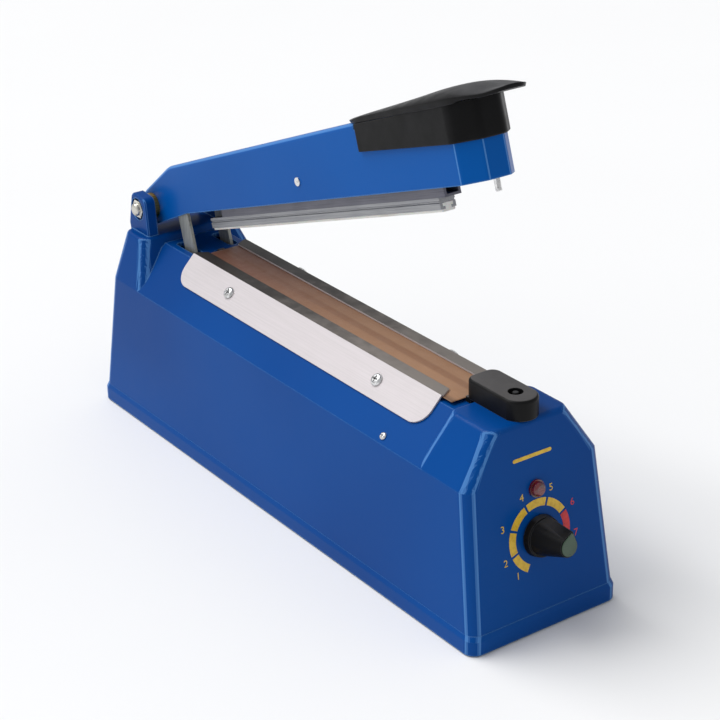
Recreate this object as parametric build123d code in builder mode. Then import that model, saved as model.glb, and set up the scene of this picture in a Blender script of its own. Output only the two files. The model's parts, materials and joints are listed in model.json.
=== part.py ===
"""Hand impulse heat sealer: a long painted base with a heated platform, a lever arm
hinged at the back, a pressure bar under the arm and a timer dial on the front.

Frame: +Z up, -Y towards the dial and the handle, +Y towards the hinge, millimetres.
Everything is drawn about the middle of the base and then moved by frame_shift, so that
the origin stands under the middle of the overall length, on the standing surface.  The
arm group is drawn shut, flat on the platform, and then swung open to its rest position.
"""
from build123d import *
from math import asin, atan2, cos, degrees, pi, radians, sin, tan
import os

os.makedirs("parts", exist_ok=True)

# ---------------------------------------------------------------- driving dimensions
frame_shift = 6.8               # base middle to the middle of the overall length, knob included

# base housing
foot_height = 0.6
skirt_half_width = 40.0
skirt_half_length = 154.6
skirt_top = 8.0                 # top of the straight skirt round the bottom
skirt_step = 0.8                # how far the skirt stands out from the drafted wall
shoulder_half_width = 35.6
shoulder_half_length = 144.7
shoulder_z = 70.4
wall = 2.2
corner_radius = 5.6

# platform deck between the front and rear blocks
deck_z = 90.6
deck_half_width = 16.1
deck_front = -110.0
deck_rear = 114.0

# front block (under the switch cover) and rear block (under the hinge)
front_top_z = 93.0
front_top_half_width = 20.8
front_top_front = -141.4
front_top_rear = -113.8
rear_top_z = 93.8
rear_top_half_width = 27.2
rear_top_front = 124.5
rear_top_rear = 143.6

# hinge
hinge_y = 136.0
hinge_z = 105.8
hinge_pin_radius = 3.0
ear_outer = 22.8
ear_inner = 17.2
ear_outline = ((128.0, 112.6), (141.2, 113.8), (145.2, 96.5))   # front top, rear top, rear
ear_corner = 3.5
open_angle = 18.0               # arm travel from shut to fully open
running_gap = 0.05              # radial clearance of shafts in their bores

# arm
arm_half_width = 13.5
arm_wall = 2.0
arm_end_radius = 9.5
arm_bottom_slope = 1.62
arm_top_slope = 4.0
arm_bottom_z = 100.75           # underside at arm_bottom_y
arm_bottom_y = 104.0
arm_top_z = 124.8               # top face at arm_top_y
arm_top_y = 106.0
nose_y = -134.6
nose_bevel = 8.0
grip_rear = -61.0
grip_lip_y = -153.0
grip_bottom_z = 124.0
grip_wall = 1.5
grip_seat_drop = 3.0            # how far the arm's top steps down under the grip

# pressure bar
bar_pivot_y = -5.5
bar_pivot_z = 113.0
bar_pin_radius = 1.6
bar_rock = 1.5                  # the bar hangs rear end low by this much when open
bar_front = -95.5
bar_rear = 98.5
bar_half_width = 4.0
bar_bottom_z = 93.8
bar_top_z = 98.8
channel_front = -100.5
channel_rear = 86.0
channel_half_width = 4.2
channel_sheet = 1.2
silicone_half_width = 3.2
slot_mouth = 1.6                # half widths of the T-slot in the bar's underside
slot_pocket = 2.7

# heated platform
strip_thickness = 1.2
element_width = 3.0
element_thickness = 0.2
cloth_half_width = 14.6
cloth_thickness = 0.3
platform_front = -102.0
platform_rear = 96.0
side_plate_sheet = 0.8
side_plate_bend = 15.0          # half width where the flange turns down the chamfer
side_plate_reach = 26.4         # half width at the lower edge of the side plates

# cord inlet in the rear wall
grommet_z = 24.0
grommet_neck_radius = 4.95
cord_radius = 3.4

# switch
plunger_y = -131.8
push_gap = 0.3                  # push pin stops this far above the plunger when shut

# front panel
dial_slope_up = 43.0            # dial centre, measured up the panel from the base line
lamp_slope_up = 64.0
scale_outer = 16.2              # printed scale: radii, end angles, marks and gap between them
scale_inner = 12.7
scale_start = 243.0
scale_end = -16.0
scale_count = 6
scale_gap = 4.4
print_thickness = 0.1
knob_radius = 9.2
knob_height = 19.0
pointer_angle = 70.0            # the pointer stands at 5 on the scale
pot_shaft_radius = 3.0

# lifting gear
link_pin_y = 112.5              # link pin in the arm, arm shut
link_pin_z = 107.0
link_length = 52.0
link_lean = 17.3                # forward lean of the link with the arm open
link_pin_radius = 2.0
strap_half_spacing = 10.2       # middle of each strap
strap_sheet = 1.5
strap_width = 9.6


# ---------------------------------------------------------------- derived places
chamfer_angle = atan2(deck_z - shoulder_z, shoulder_half_width - deck_half_width)
end_draft = (shoulder_half_length - (skirt_half_length - skirt_step)) / (shoulder_z - skirt_top)
hinge_axis = Axis((0, hinge_y, hinge_z), (1, 0, 0))
bar_axis = Axis((0, bar_pivot_y, bar_pivot_z), (1, 0, 0))
platform_top = deck_z + strip_thickness + element_thickness + cloth_thickness
flange_top = platform_top + side_plate_sheet
slope_length = sin(chamfer_angle)

# the front panel is the drafted front wall; its plane starts on the base line
panel_tilt = atan2(-end_draft, 1)
panel_foot_y = -(shoulder_half_length - end_draft * shoulder_z)
panel_normal = Vector(0, -cos(panel_tilt), sin(panel_tilt))

# cord inlet, square to the drafted rear wall
rear_wall_y = skirt_half_length - skirt_step + end_draft * (grommet_z - skirt_top)
inlet_plane = Plane(origin=(0, rear_wall_y, grommet_z), x_dir=(-1, 0, 0),
                    z_dir=(0, cos(panel_tilt), sin(panel_tilt)))


def panel_plane(up, out=0.0, turn=0.0):
    """Plane on the front panel: local Y runs up the panel, local Z points out of it."""
    along = Vector(0, sin(panel_tilt), cos(panel_tilt))
    foot = Vector(0, panel_foot_y, 0)
    place = foot + along * up + panel_normal * out
    right = Vector(cos(radians(turn)), 0, 0) + along * sin(radians(turn))
    return Plane(origin=place, x_dir=right, z_dir=panel_normal)


def chamfer_plane(side, y, z, out=0.0):
    """Plane on the sloping chamfer, side -1 left or +1 right, local Z outwards."""
    normal = Vector(side * sin(chamfer_angle), 0, cos(chamfer_angle))
    x = side * (shoulder_half_width - (z - shoulder_z) / tan(chamfer_angle))
    place = Vector(x, y, z) + normal * out
    return Plane(origin=place, x_dir=(0, 1, 0), z_dir=normal)


def about_hinge(y, z, angle):
    """Point (y, z) turned about the hinge by angle, positive closes the arm."""
    dy, dz, a = y - hinge_y, z - hinge_z, radians(angle)
    return hinge_y + dy * cos(a) - dz * sin(a), hinge_z + dy * sin(a) + dz * cos(a)


def opened(part):
    """Arm piece, drawn shut, swung open to the rest position."""
    return part.rotate(hinge_axis, -open_angle)


def hung(part):
    """Pressure bar piece, drawn level, rocked on its pivot and swung open."""
    return opened(part.rotate(bar_axis, -bar_rock))


def save(part, name):
    part = part.moved(Location((0, frame_shift, 0)))
    part.label = name
    export_step(part, f"parts/{name}.step")


# ---------------------------------------------------------------- repeated hardware
def pan_screw(radius, head_radius, head_height, length):
    """Pan head cross-recess screw; head seat at z = 0, shank down."""
    rim_z, crown_radius = head_height * 0.3, head_radius * 0.4
    with BuildPart() as screw:
        with BuildSketch(Plane.XZ):
            with BuildLine():
                Polyline((0, -length), (radius * 0.5, -length), (radius, -length + radius * 0.5), (radius, 0),
                         (head_radius, 0), (head_radius, rim_z))
                ThreePointArc((head_radius, rim_z), (head_radius * 0.82, head_height * 0.8),
                              (crown_radius, head_height))
                Polyline((crown_radius, head_height), (0, head_height), (0, -length))
            make_face()
        revolve(axis=Axis.Z)
        with BuildSketch(Plane.XY.offset(head_height)):
            Rectangle(head_radius * 1.15, head_radius * 0.26)
            Rectangle(head_radius * 0.26, head_radius * 1.15)
        extrude(amount=-head_height * 0.62, mode=Mode.SUBTRACT)
    return screw.part


def hex_nut(across, height, bore):
    """Plain hexagon nut standing on z = 0."""
    with BuildPart() as nut:
        with BuildSketch():
            RegularPolygon(across / 2, 6, major_radius=False)
            Circle(bore, mode=Mode.SUBTRACT)
        extrude(amount=height)
        chamfer(nut.edges().group_by(Axis.Z)[-1].filter_by(GeomType.LINE), height * 0.16)
    return nut.part


def placed(piece, planes):
    """One group of separate copies of piece, one on each plane."""
    with BuildPart() as group:
        for plane in planes:
            add(piece.moved(plane.location))
    return group.part


# ---------------------------------------------------------------- base housing
def rounded_loft(low, high, radius):
    """Loft between two rounded rectangles, each (z, x0, x1, y0, y1)."""
    with BuildPart() as solid:
        for z, x0, x1, y0, y1 in (low, high):
            with BuildSketch(Plane.XY.offset(z)):
                with Locations(((x0 + x1) / 2, (y0 + y1) / 2)):
                    RectangleRounded(x1 - x0, y1 - y0, radius)
        loft()
    return solid.part


def housing_solid(inset):
    """Full form of the housing, every wall moved inwards by inset."""
    radius = corner_radius - inset * 0.8
    wide, long = skirt_half_width - inset, skirt_half_length - inset
    low_wide, low_long = wide - skirt_step, long - skirt_step
    top_wide, top_long = shoulder_half_width - inset, shoulder_half_length - inset
    body = rounded_loft((skirt_top, -low_wide, low_wide, -low_long, low_long),
                        (shoulder_z, -top_wide, top_wide, -top_long, top_long), radius)
    flare = rounded_loft((skirt_top - 1.0, -wide, wide, -long, long),
                         (skirt_top + 1.2, -low_wide, low_wide, -low_long, low_long), radius)
    skirt_bottom = foot_height if inset == 0 else 0.0
    skirt = rounded_loft((skirt_bottom, -wide, wide, -long, long),
                         (skirt_top - 1.0, -wide, wide, -long, long), radius)

    def chamfer_x(z):
        return shoulder_half_width - (z - shoulder_z) / tan(chamfer_angle) - inset / slope_length

    drop = inset * 0.55
    low_z, high_z = shoulder_z - drop, deck_z - inset
    with BuildPart() as deck:
        with BuildSketch(Plane.XZ.offset(-(deck_rear + 8))):
            with BuildLine():
                Polyline((-chamfer_x(low_z), low_z), (chamfer_x(low_z), low_z),
                         (chamfer_x(high_z), high_z), (-chamfer_x(high_z), high_z), close=True)
            make_face()
        extrude(amount=deck_rear - deck_front + 16)

    slim = inset * 1.15
    front = rounded_loft((shoulder_z - drop, -shoulder_half_width + slim, shoulder_half_width - slim,
                          -shoulder_half_length + inset, deck_front - slim),
                         (front_top_z - inset, -front_top_half_width + slim, front_top_half_width - slim,
                          front_top_front + inset, front_top_rear - slim), radius)
    rear = rounded_loft((shoulder_z - drop, -shoulder_half_width + slim, shoulder_half_width - slim,
                         deck_rear + slim, shoulder_half_length - inset),
                        (rear_top_z - inset, -rear_top_half_width + slim, rear_top_half_width - slim,
                         rear_top_front + slim, rear_top_rear - inset), radius)
    if inset == 0:
        front = fillet(front.faces().sort_by(Axis.Z)[-1].edges(), 2.4)
        rear = fillet(rear.faces().sort_by(Axis.Z)[-1].edges(), 1.8)
    return body + flare + skirt + deck.part + front + rear


outer_form = housing_solid(0)
inner_form = housing_solid(wall)

boss_places = [(x, y) for y in (-136.0, 0.0, 136.0) for x in (-32.0, 32.0)]
boss_radius = 5.0
bracket_y = -85.6               # small screw on each chamfer that holds the timer board bracket
housing_screw_z = 72.9
plate_bottom = foot_height
plate_sheet = 1.5
recess_depth = 2.0


def hinge_ear(side):
    """Upright ear that carries one end of the hinge pin, outer rim rounded."""
    foot_z = rear_top_z - 3.2
    with BuildPart() as ear:
        with BuildSketch(Plane.YZ.offset(side * ear_inner)):
            with BuildLine():
                front_foot, rear_foot = (rear_top_front + 1.5, foot_z), (rear_top_rear + 0.4, foot_z)
                FilletPolyline(front_foot, *ear_outline, rear_foot, radius=ear_corner)
                Line(rear_foot, front_foot)
            make_face()
        extrude(amount=side * (ear_outer - ear_inner))
        outer_face = ear.faces().sort_by(Axis.X)[0 if side < 0 else -1]
        fillet(outer_face.edges().filter_by(lambda e: e.center().Z > foot_z + 1), 1.0)
    return ear.part


ears = [hinge_ear(side) for side in (-1, 1)]

with BuildPart() as base_housing:
    add(outer_form)
    add(inner_form, mode=Mode.SUBTRACT)
    for ear in ears:
        add(ear)
    # hinge pin bore and the nut recesses outside the ears
    with BuildSketch(Plane.YZ.offset(-ear_outer - 1)):
        with Locations((hinge_y, hinge_z)):
            Circle(hinge_pin_radius + 0.02)
    extrude(amount=2 * ear_outer + 2, mode=Mode.SUBTRACT)
    for side in (-1, 1):
        with BuildSketch(Plane.YZ.offset(side * (ear_outer - recess_depth))):
            with Locations((hinge_y, hinge_z)):
                Circle(5.6)
        extrude(amount=side * 6, mode=Mode.SUBTRACT)
    # screw bosses for the bottom plate
    with BuildSketch(Plane.XY.offset(plate_bottom + plate_sheet)):
        with Locations(*boss_places):
            Circle(boss_radius)
    extrude(amount=11)
    with BuildSketch(Plane.XY.offset(plate_bottom + plate_sheet)):
        with Locations(*boss_places):
            Circle(1.42)
    extrude(amount=9, mode=Mode.SUBTRACT)
    # slots in the deck: lifting link straps, and the bent ends of the heating element
    with BuildSketch(Plane.XY.offset(deck_z - 6)):
        with Locations((-strap_half_spacing, 108.2), (strap_half_spacing, 108.2)):
            SlotOverall(19, 5.0, rotation=90)
        with Locations((0, platform_front - 2.6), (0, platform_rear + 0.4)):
            Rectangle(5.2, 2.6)
    extrude(amount=12, mode=Mode.SUBTRACT)
    # plunger hole through the front block
    with BuildSketch(Plane.XY.offset(front_top_z - 6)):
        with Locations((0, plunger_y)):
            Circle(2.6)
    extrude(amount=8, mode=Mode.SUBTRACT)
    # holes in the front panel for the timer spindle and the pilot lamp
    with BuildSketch(panel_plane(dial_slope_up, out=2)):
        Circle(3.6)
    extrude(amount=-6, mode=Mode.SUBTRACT)
    with BuildSketch(panel_plane(lamp_slope_up, out=2)):
        Circle(3.3)
    extrude(amount=-6, mode=Mode.SUBTRACT)
    # cord inlet at the back
    with BuildSketch(inlet_plane.offset(3)):
        Circle(grommet_neck_radius + 0.05)
    extrude(amount=-8, mode=Mode.SUBTRACT)
    # clearance holes for the side plate screws and the bracket screws
    for side in (-1, 1):
        for y, z in ((55.0, 86.6), (-64.0, 86.6), (bracket_y, housing_screw_z)):
            with BuildSketch(chamfer_plane(side, y, z, out=2)):
                Circle(1.25)
            extrude(amount=-6, mode=Mode.SUBTRACT)
save(base_housing.part, "base_housing")


# ---------------------------------------------------------------- bottom plate and feet
plate_half_width = skirt_half_width - wall - 0.3
plate_half_length = skirt_half_length - wall - 0.3
foot_places = [(x, y) for y in (-118.0, 118.0) for x in (-27.0, 27.0)]
core_y = 20.0

with BuildPart() as bottom_plate:
    with BuildSketch(Plane.XY.offset(plate_bottom)):
        RectangleRounded(2 * plate_half_width, 2 * plate_half_length, corner_radius - wall + 1.0)
        with Locations(*boss_places):
            Circle(1.8, mode=Mode.SUBTRACT)
        with Locations(*foot_places):
            Circle(3.1, mode=Mode.SUBTRACT)
        # cooling slots under the transformer
        with Locations((0, core_y)):
            with GridLocations(9, 0, 5, 1):
                SlotOverall(34, 3, rotation=90, mode=Mode.SUBTRACT)
    extrude(amount=plate_sheet)
save(bottom_plate.part, "bottom_plate")

with BuildPart() as rubber_feet:
    for z, radius, height in ((0, 8.0, foot_height), (foot_height, 3.0, plate_sheet),
                              (foot_height + plate_sheet, 4.4, 1.8)):
        with BuildSketch(Plane.XY.offset(z)):
            with Locations(*foot_places):
                Circle(radius)
        extrude(amount=height)
save(rubber_feet.part, "rubber_feet")

plate_screw = pan_screw(1.4, 2.9, 1.2, 9.0)
screw_planes = [Plane(origin=(x, y, plate_bottom), x_dir=(1, 0, 0), z_dir=(0, 0, -1)) for x, y in boss_places]
save(placed(plate_screw, screw_planes), "bottom_plate_screws")

# ---------------------------------------------------------------- heated platform
strip_half_width = 14.0
element_z = deck_z + strip_thickness
element_drop = 14.0
ceiling = deck_z - wall         # underside of the deck
clamp_z = ceiling - 7.2
clamp_screw_radius = 1.0
element_front = platform_front - 2.0
element_rear = platform_rear

with BuildPart() as element_insulator:
    with BuildSketch(Plane.XY.offset(deck_z)):
        with Locations((0, (platform_front + platform_rear - 6.0) / 2)):
            Rectangle(2 * strip_half_width, platform_rear - platform_front - 10.0)
    extrude(amount=strip_thickness)
save(element_insulator.part, "element_insulator")

with BuildPart() as heating_element:
    with BuildSketch(Plane.YZ.offset(-element_width / 2)):
        with BuildLine():
            middle_z = element_z + element_thickness / 2
            ribbon = FilletPolyline((element_front, element_z - element_drop), (element_front, middle_z),
                                    (element_rear, middle_z), (element_rear, element_z - element_drop),
                                    radius=0.8)
            offset(ribbon, amount=element_thickness / 2, side=Side.BOTH)
        make_face()
    extrude(amount=element_width)
    for y in (element_front, element_rear):
        with Locations(Plane(origin=(0, y, clamp_z), x_dir=(1, 0, 0), z_dir=(0, 1, 0))):
            Cylinder(clamp_screw_radius + 0.02, 2, mode=Mode.SUBTRACT)
save(heating_element.part, "heating_element")

cloth_front = -108.4
cloth_rear = 93.0
with BuildPart() as ptfe_cloth:
    with BuildSketch(Plane.XY.offset(element_z + element_thickness)):
        with Locations((0, (cloth_front + cloth_rear) / 2)):
            Rectangle(2 * cloth_half_width, cloth_rear - cloth_front)
    extrude(amount=cloth_thickness)
save(ptfe_cloth.part, "ptfe_cloth")


def side_plate(side):
    """Stainless guard: narrow top flange over the cloth edge, wide face down the chamfer."""
    flange_inner, bend = 8.5, side_plate_bend
    z_in, z_out = platform_top, flange_top
    fall = tan(chamfer_angle)
    x_low, z_low = side_plate_reach, flange_top - (side_plate_reach - bend) * fall
    with BuildPart() as plate:
        with BuildSketch(Plane.XZ.offset(-platform_rear)):
            with BuildLine():
                Polyline((side * flange_inner, z_in), (side * flange_inner, z_out), (side * bend, z_out),
                         (side * x_low, z_low),
                         (side * (x_low - side_plate_sheet * sin(chamfer_angle)),
                          z_low - side_plate_sheet * cos(chamfer_angle)),
                         (side * (bend - 0.3), z_in), close=True)
            make_face()
        extrude(amount=platform_rear - platform_front)
        # mitred ends of the flange and round lower corners of the face
        for end, way in ((platform_front, 1), (platform_rear, -1)):
            with BuildSketch(Plane.XY.offset(z_in - 1)):
                with BuildLine():
                    Polyline((side * (bend + 0.4), end - way), (side * (flange_inner - 0.5), end - way),
                             (side * (flange_inner - 0.5), end + way * 3.4), close=True)
                make_face()
            extrude(amount=4, mode=Mode.SUBTRACT)
        corners = plate.edges().filter_by(
            lambda e: e.length < 2 * side_plate_sheet and abs(e.center().X) > side_plate_reach - 1.0)
        fillet(corners, 9.0)
        for y in (55.0, -64.0):
            with BuildSketch(chamfer_plane(side, y, 86.6, out=4)):
                Circle(1.9)
            extrude(amount=-6, mode=Mode.SUBTRACT)
    return plate.part


save(side_plate(-1), "side_plate_left")
save(side_plate(1), "side_plate_right")

plate_rise, plate_shift = flange_top - deck_z, side_plate_bend - deck_half_width
plate_face_out = plate_rise * cos(chamfer_angle) + plate_shift * sin(chamfer_angle)
side_screw = pan_screw(1.2, 3.0, 1.6, 6.5)
side_screw_planes = [chamfer_plane(side, y, 86.6, out=plate_face_out + 0.02)
                     for side in (-1, 1) for y in (55.0, -64.0)]
save(placed(side_screw, side_screw_planes), "side_plate_screws")

# ends of the element: insulating blocks under the deck and brass clamps
electrode_places = ((element_front, -1), (element_rear, 1))
with BuildPart() as electrode_insulators:
    for y, way in electrode_places:
        with Locations((0, y - way * 6.5, ceiling - 6.0)):
            Box(12, 10, 12.0)
save(electrode_insulators.part, "electrode_insulators")

with BuildPart() as electrode_clamps:
    for y, way in electrode_places:
        with Locations((0, y - way * 0.75, clamp_z)):
            Box(8, 1.2, 8)
        with Locations(Plane(origin=(0, y, clamp_z), x_dir=(1, 0, 0), z_dir=(0, way, 0))):
            Cylinder(clamp_screw_radius + 0.02, 6, mode=Mode.SUBTRACT)
save(electrode_clamps.part, "electrode_clamps")

clamp_screw = pan_screw(clamp_screw_radius, 1.9, 1.0, 1.2)
clamp_planes = [Plane(origin=(0, y + way * 0.12, clamp_z), x_dir=(1, 0, 0), z_dir=(0, way, 0))
                for y, way in electrode_places]
save(placed(clamp_screw, clamp_planes), "electrode_screws")

# ---------------------------------------------------------------- switch cover and microswitch
cover_half_width = 8.0
cover_rear = -108.2
cover_front = -142.2
cover_top_z = 102.0
cover_hole_radius = 3.3

with BuildPart() as switch_cover:
    with BuildSketch(Plane.XY.offset(front_top_z)):
        with BuildLine():
            Line((cover_half_width, cover_rear), (-cover_half_width, cover_rear))
            Line((-cover_half_width, cover_rear), (-cover_half_width, cover_front + cover_half_width - 1.5))
            ThreePointArc((-cover_half_width, cover_front + cover_half_width - 1.5), (0, cover_front),
                          (cover_half_width, cover_front + cover_half_width - 1.5))
            Line((cover_half_width, cover_front + cover_half_width - 1.5), (cover_half_width, cover_rear))
        make_face()
    extrude(amount=cover_top_z - front_top_z)
    fillet(switch_cover.edges().filter_by(Axis.Z).group_by(Axis.Y)[-1], 4.6)
    fillet(switch_cover.faces().sort_by(Axis.Z)[-1].edges(), 1.4)
    # hollow underside
    with BuildSketch(Plane.XY.offset(front_top_z)):
        with Locations((0, (cover_rear - 1.8 + cover_front + 1.8 + 1.5) / 2)):
            RectangleRounded(2 * cover_half_width - 3.6, cover_rear - cover_front - 6.6, 2.0)
    extrude(amount=cover_top_z - front_top_z - 1.8, mode=Mode.SUBTRACT)
    with BuildSketch(Plane.XY.offset(front_top_z)):
        with Locations((0, plunger_y)):
            Circle(cover_hole_radius)
    extrude(amount=12, mode=Mode.SUBTRACT)
    # the rear overhangs the deck, which lies lower than the block
    with BuildSketch(Plane.XY.offset(deck_z + 0.2)):
        with Locations((0, cover_rear - 2.2)):
            Rectangle(2 * cover_half_width - 1.0, 3.4)
    extrude(amount=front_top_z - deck_z)
save(switch_cover.part, "switch_cover")

switch_body_top = 86.0
switch_body_height = 10.4
with BuildPart() as microswitch_body:
    with Locations((0, plunger_y + 5.0, switch_body_top - switch_body_height / 2)):
        Box(6.4, 19.8, switch_body_height)
    fillet(microswitch_body.edges().filter_by(Axis.X), 0.8)
    with BuildSketch(Plane.XY.offset(switch_body_top - 4)):
        with Locations((0, plunger_y)):
            Circle(1.55)
    extrude(amount=6, mode=Mode.SUBTRACT)
    with BuildSketch(Plane.YZ.offset(-4)):
        with Locations((plunger_y + 0.2, switch_body_top - 7.4), (plunger_y + 9.7, switch_body_top - 7.4)):
            Circle(1.1)
    extrude(amount=8, mode=Mode.SUBTRACT)
    # three solder tags
    for dy in (-2.5, 5.0, 12.5):
        with Locations((0, plunger_y + dy, switch_body_top - switch_body_height - 1.6)):
            Box(3.0, 0.6, 3.4)
save(microswitch_body.part, "microswitch_body")

plunger_travel = 1.2
plunger_top = 101.8
with BuildPart() as microswitch_plunger:
    with BuildSketch(Plane.XY.offset(switch_body_top - 2.4)):
        with Locations((0, plunger_y)):
            Circle(1.5)
    extrude(amount=plunger_top - switch_body_top + 2.4)
    fillet(microswitch_plunger.edges().sort_by(Axis.Z)[-1], 0.6)
save(microswitch_plunger.part, "microswitch_plunger")

bracket_sheet = 1.2
with BuildPart() as microswitch_bracket:
    with BuildSketch(Plane.XZ.offset(-(plunger_y + 13.5))):
        with BuildLine():
            hang = front_top_z - wall
            Polyline((-4.5, switch_body_top - 10), (-3.3, switch_body_top - 10), (-3.3, hang - bracket_sheet),
                     (9.0, hang - bracket_sheet), (9.0, hang), (-4.5, hang), close=True)
        make_face()
    extrude(amount=17)
    with BuildSketch(Plane.YZ.offset(-6)):
        with Locations((plunger_y + 0.2, switch_body_top - 7.4), (plunger_y + 9.7, switch_body_top - 7.4)):
            Circle(1.05)
    extrude(amount=4, mode=Mode.SUBTRACT)
    with BuildSketch(Plane.XY.offset(hang - 2)):
        with Locations((0, plunger_y)):
            Circle(2.8)
    extrude(amount=4, mode=Mode.SUBTRACT)
save(microswitch_bracket.part, "microswitch_bracket")

switch_screw = pan_screw(0.95, 1.8, 1.0, 8.4)
switch_screw_planes = [Plane(origin=(-4.5, plunger_y + dy, switch_body_top - 7.4), x_dir=(0, 1, 0),
                             z_dir=(-1, 0, 0)) for dy in (0.2, 9.7)]
save(placed(switch_screw, switch_screw_planes), "microswitch_screws")

# ---------------------------------------------------------------- front panel: timer and lamp
with BuildPart() as potentiometer_body:
    with BuildSketch(panel_plane(dial_slope_up, out=-wall - 0.3)):
        Circle(8.2)
    extrude(amount=-8.5)
    with BuildSketch(panel_plane(dial_slope_up, out=-wall - 0.3)):
        Circle(3.5)
    extrude(amount=wall + 0.3 + 3.6)
    with BuildSketch(panel_plane(dial_slope_up - 11.0, out=-wall - 3.0)):
        with GridLocations(5.0, 0, 3, 1):
            Rectangle(1.2, 8.0)
    extrude(amount=-1.0)
    with BuildSketch(panel_plane(dial_slope_up, out=6)):
        Circle(pot_shaft_radius + running_gap)
    extrude(amount=-14, mode=Mode.SUBTRACT)
save(potentiometer_body.part, "potentiometer_body")

pot_nut = hex_nut(10.0, 2.2, 3.52)
save(pot_nut.moved(panel_plane(dial_slope_up, out=0.02).location), "potentiometer_nut")

with BuildPart() as potentiometer_shaft:
    with BuildSketch(panel_plane(dial_slope_up, out=-7.5)):
        Circle(pot_shaft_radius)
    extrude(amount=7.5 + 14.0)
save(potentiometer_shaft.part, "potentiometer_shaft")


def teardrop(radius, tip):
    """Outline of the knob: a circle with a pointer drawn out along local X."""
    touch = radius * radius / tip
    rise = (radius * radius - touch * touch) ** 0.5
    with BuildLine() as line:
        ThreePointArc((touch, rise), (-radius, 0), (touch, -rise))
        Line((touch, -rise), (tip, -0.35))
        Line((tip, -0.35), (tip, 0.35))
        Line((tip, 0.35), (touch, rise))
    return line.line


with BuildPart() as timer_knob:
    with BuildSketch(panel_plane(dial_slope_up, out=0.6)):
        Circle(knob_radius)
    with BuildSketch(panel_plane(dial_slope_up, out=3.4)):
        Circle(knob_radius - 0.5)
    loft()
    with BuildSketch(panel_plane(dial_slope_up, out=3.4, turn=pointer_angle)):
        add(teardrop(7.9, 8.7))
        make_face()
    with BuildSketch(panel_plane(dial_slope_up, out=knob_height - 0.5, turn=pointer_angle)):
        add(teardrop(4.4, 6.6))
        make_face()
    loft()
    # hollow for the nut, bore for the spindle
    with BuildSketch(panel_plane(dial_slope_up, out=0.5)):
        Circle(6.3)
    extrude(amount=4.0, mode=Mode.SUBTRACT)
    with BuildSketch(panel_plane(dial_slope_up, out=0.5)):
        Circle(pot_shaft_radius)
    extrude(amount=13.5, mode=Mode.SUBTRACT)
save(timer_knob.part, "timer_knob")

with BuildPart() as knob_cap:
    with BuildSketch(panel_plane(dial_slope_up, out=knob_height - 0.5, turn=pointer_angle)):
        add(teardrop(3.9, 5.9))
        make_face()
    extrude(amount=0.5)
save(knob_cap.part, "knob_cap")

# printed scale round the knob: broad marks between the numbers, the last one red
def scale_marks(numbers):
    """Printed marks of the scale, numbered from its low end."""
    step = (scale_start - scale_end) / scale_count
    with BuildPart() as marks:
        for number in numbers:
            first, sweep = scale_start - step * number - scale_gap / 2, scale_gap - step
            with BuildSketch(panel_plane(dial_slope_up)):
                with BuildLine():
                    outer = CenterArc((0, 0), scale_outer, first, sweep)
                    inner = CenterArc((0, 0), scale_inner, first, sweep)
                    Line(outer @ 0, inner @ 0)
                    Line(outer @ 1, inner @ 1)
                make_face()
            extrude(amount=print_thickness)
    return marks.part


save(scale_marks(range(scale_count - 1)), "dial_scale_yellow")
save(scale_marks((scale_count - 1,)), "dial_scale_red")

with BuildPart() as lamp_lens:
    with BuildSketch(panel_plane(lamp_slope_up, out=0.02)):
        Circle(3.8)
    extrude(amount=1.0)
    with BuildSketch(panel_plane(lamp_slope_up, out=1.0)):
        Circle(3.2)
    extrude(amount=2.4)
    fillet(lamp_lens.edges().filter_by(GeomType.CIRCLE).filter_by(lambda e: abs(e.radius - 3.2) < 0.01)
           .sort_by(Axis.Y)[0], 1.6)
save(lamp_lens.part, "lamp_lens")

with BuildPart() as lamp_body:
    with BuildSketch(panel_plane(lamp_slope_up, out=0.0)):
        Circle(3.2)
    extrude(amount=-16)
    for dx in (-1.4, 1.4):
        with BuildSketch(panel_plane(lamp_slope_up, out=-16)):
            with Locations((dx, 0)):
                Circle(0.5)
        extrude(amount=-4)
save(lamp_body.part, "lamp_body")

# ---------------------------------------------------------------- timer board and its bracket
board_z = 57.0
board_sheet = 1.6
board_half_width = 24.0
board_front, board_rear = -118.0, -62.0
board_y = (board_front + board_rear) / 2
bracket_z = board_z + board_sheet + 6.0
post_places = [(x, bracket_y) for x in (-19.0, 19.0)]

with BuildPart() as board_bracket:
    with BuildSketch(Plane.XY.offset(bracket_z)):
        with Locations((0, bracket_y)):
            Rectangle(56, 12)
        with Locations(*post_places):
            Circle(1.3, mode=Mode.SUBTRACT)
    extrude(amount=1.4)
    for side in (-1, 1):
        with BuildSketch(Plane.XZ.offset(-(bracket_y + 6))):
            with BuildLine():
                Polyline((side * 26.5, bracket_z), (side * 28.5, bracket_z), (side * 32.6, bracket_z + 4.2),
                         (side * 25.6, bracket_z + 11.4), (side * 24.6, bracket_z + 10.4),
                         (side * 30.4, bracket_z + 4.4), (side * 27.6, bracket_z + 1.4),
                         (side * 26.5, bracket_z + 1.4), close=True)
            make_face()
        extrude(amount=12)
    for side in (-1, 1):
        with BuildSketch(chamfer_plane(side, bracket_y, housing_screw_z)):
            Circle(1.22)
        extrude(amount=-8, mode=Mode.SUBTRACT)
save(board_bracket.part, "board_bracket")

housing_screw = pan_screw(1.2, 1.75, 1.1, 6.0)
housing_screw_planes = [chamfer_plane(side, bracket_y, housing_screw_z, out=0.02) for side in (-1, 1)]
save(placed(housing_screw, housing_screw_planes), "housing_screws")

with BuildPart() as board_spacers:
    with BuildSketch(Plane.XY.offset(board_z + board_sheet)):
        with Locations(*post_places):
            Circle(3.0)
            Circle(1.3, mode=Mode.SUBTRACT)
    extrude(amount=bracket_z - board_z - board_sheet)
save(board_spacers.part, "board_spacers")

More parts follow.
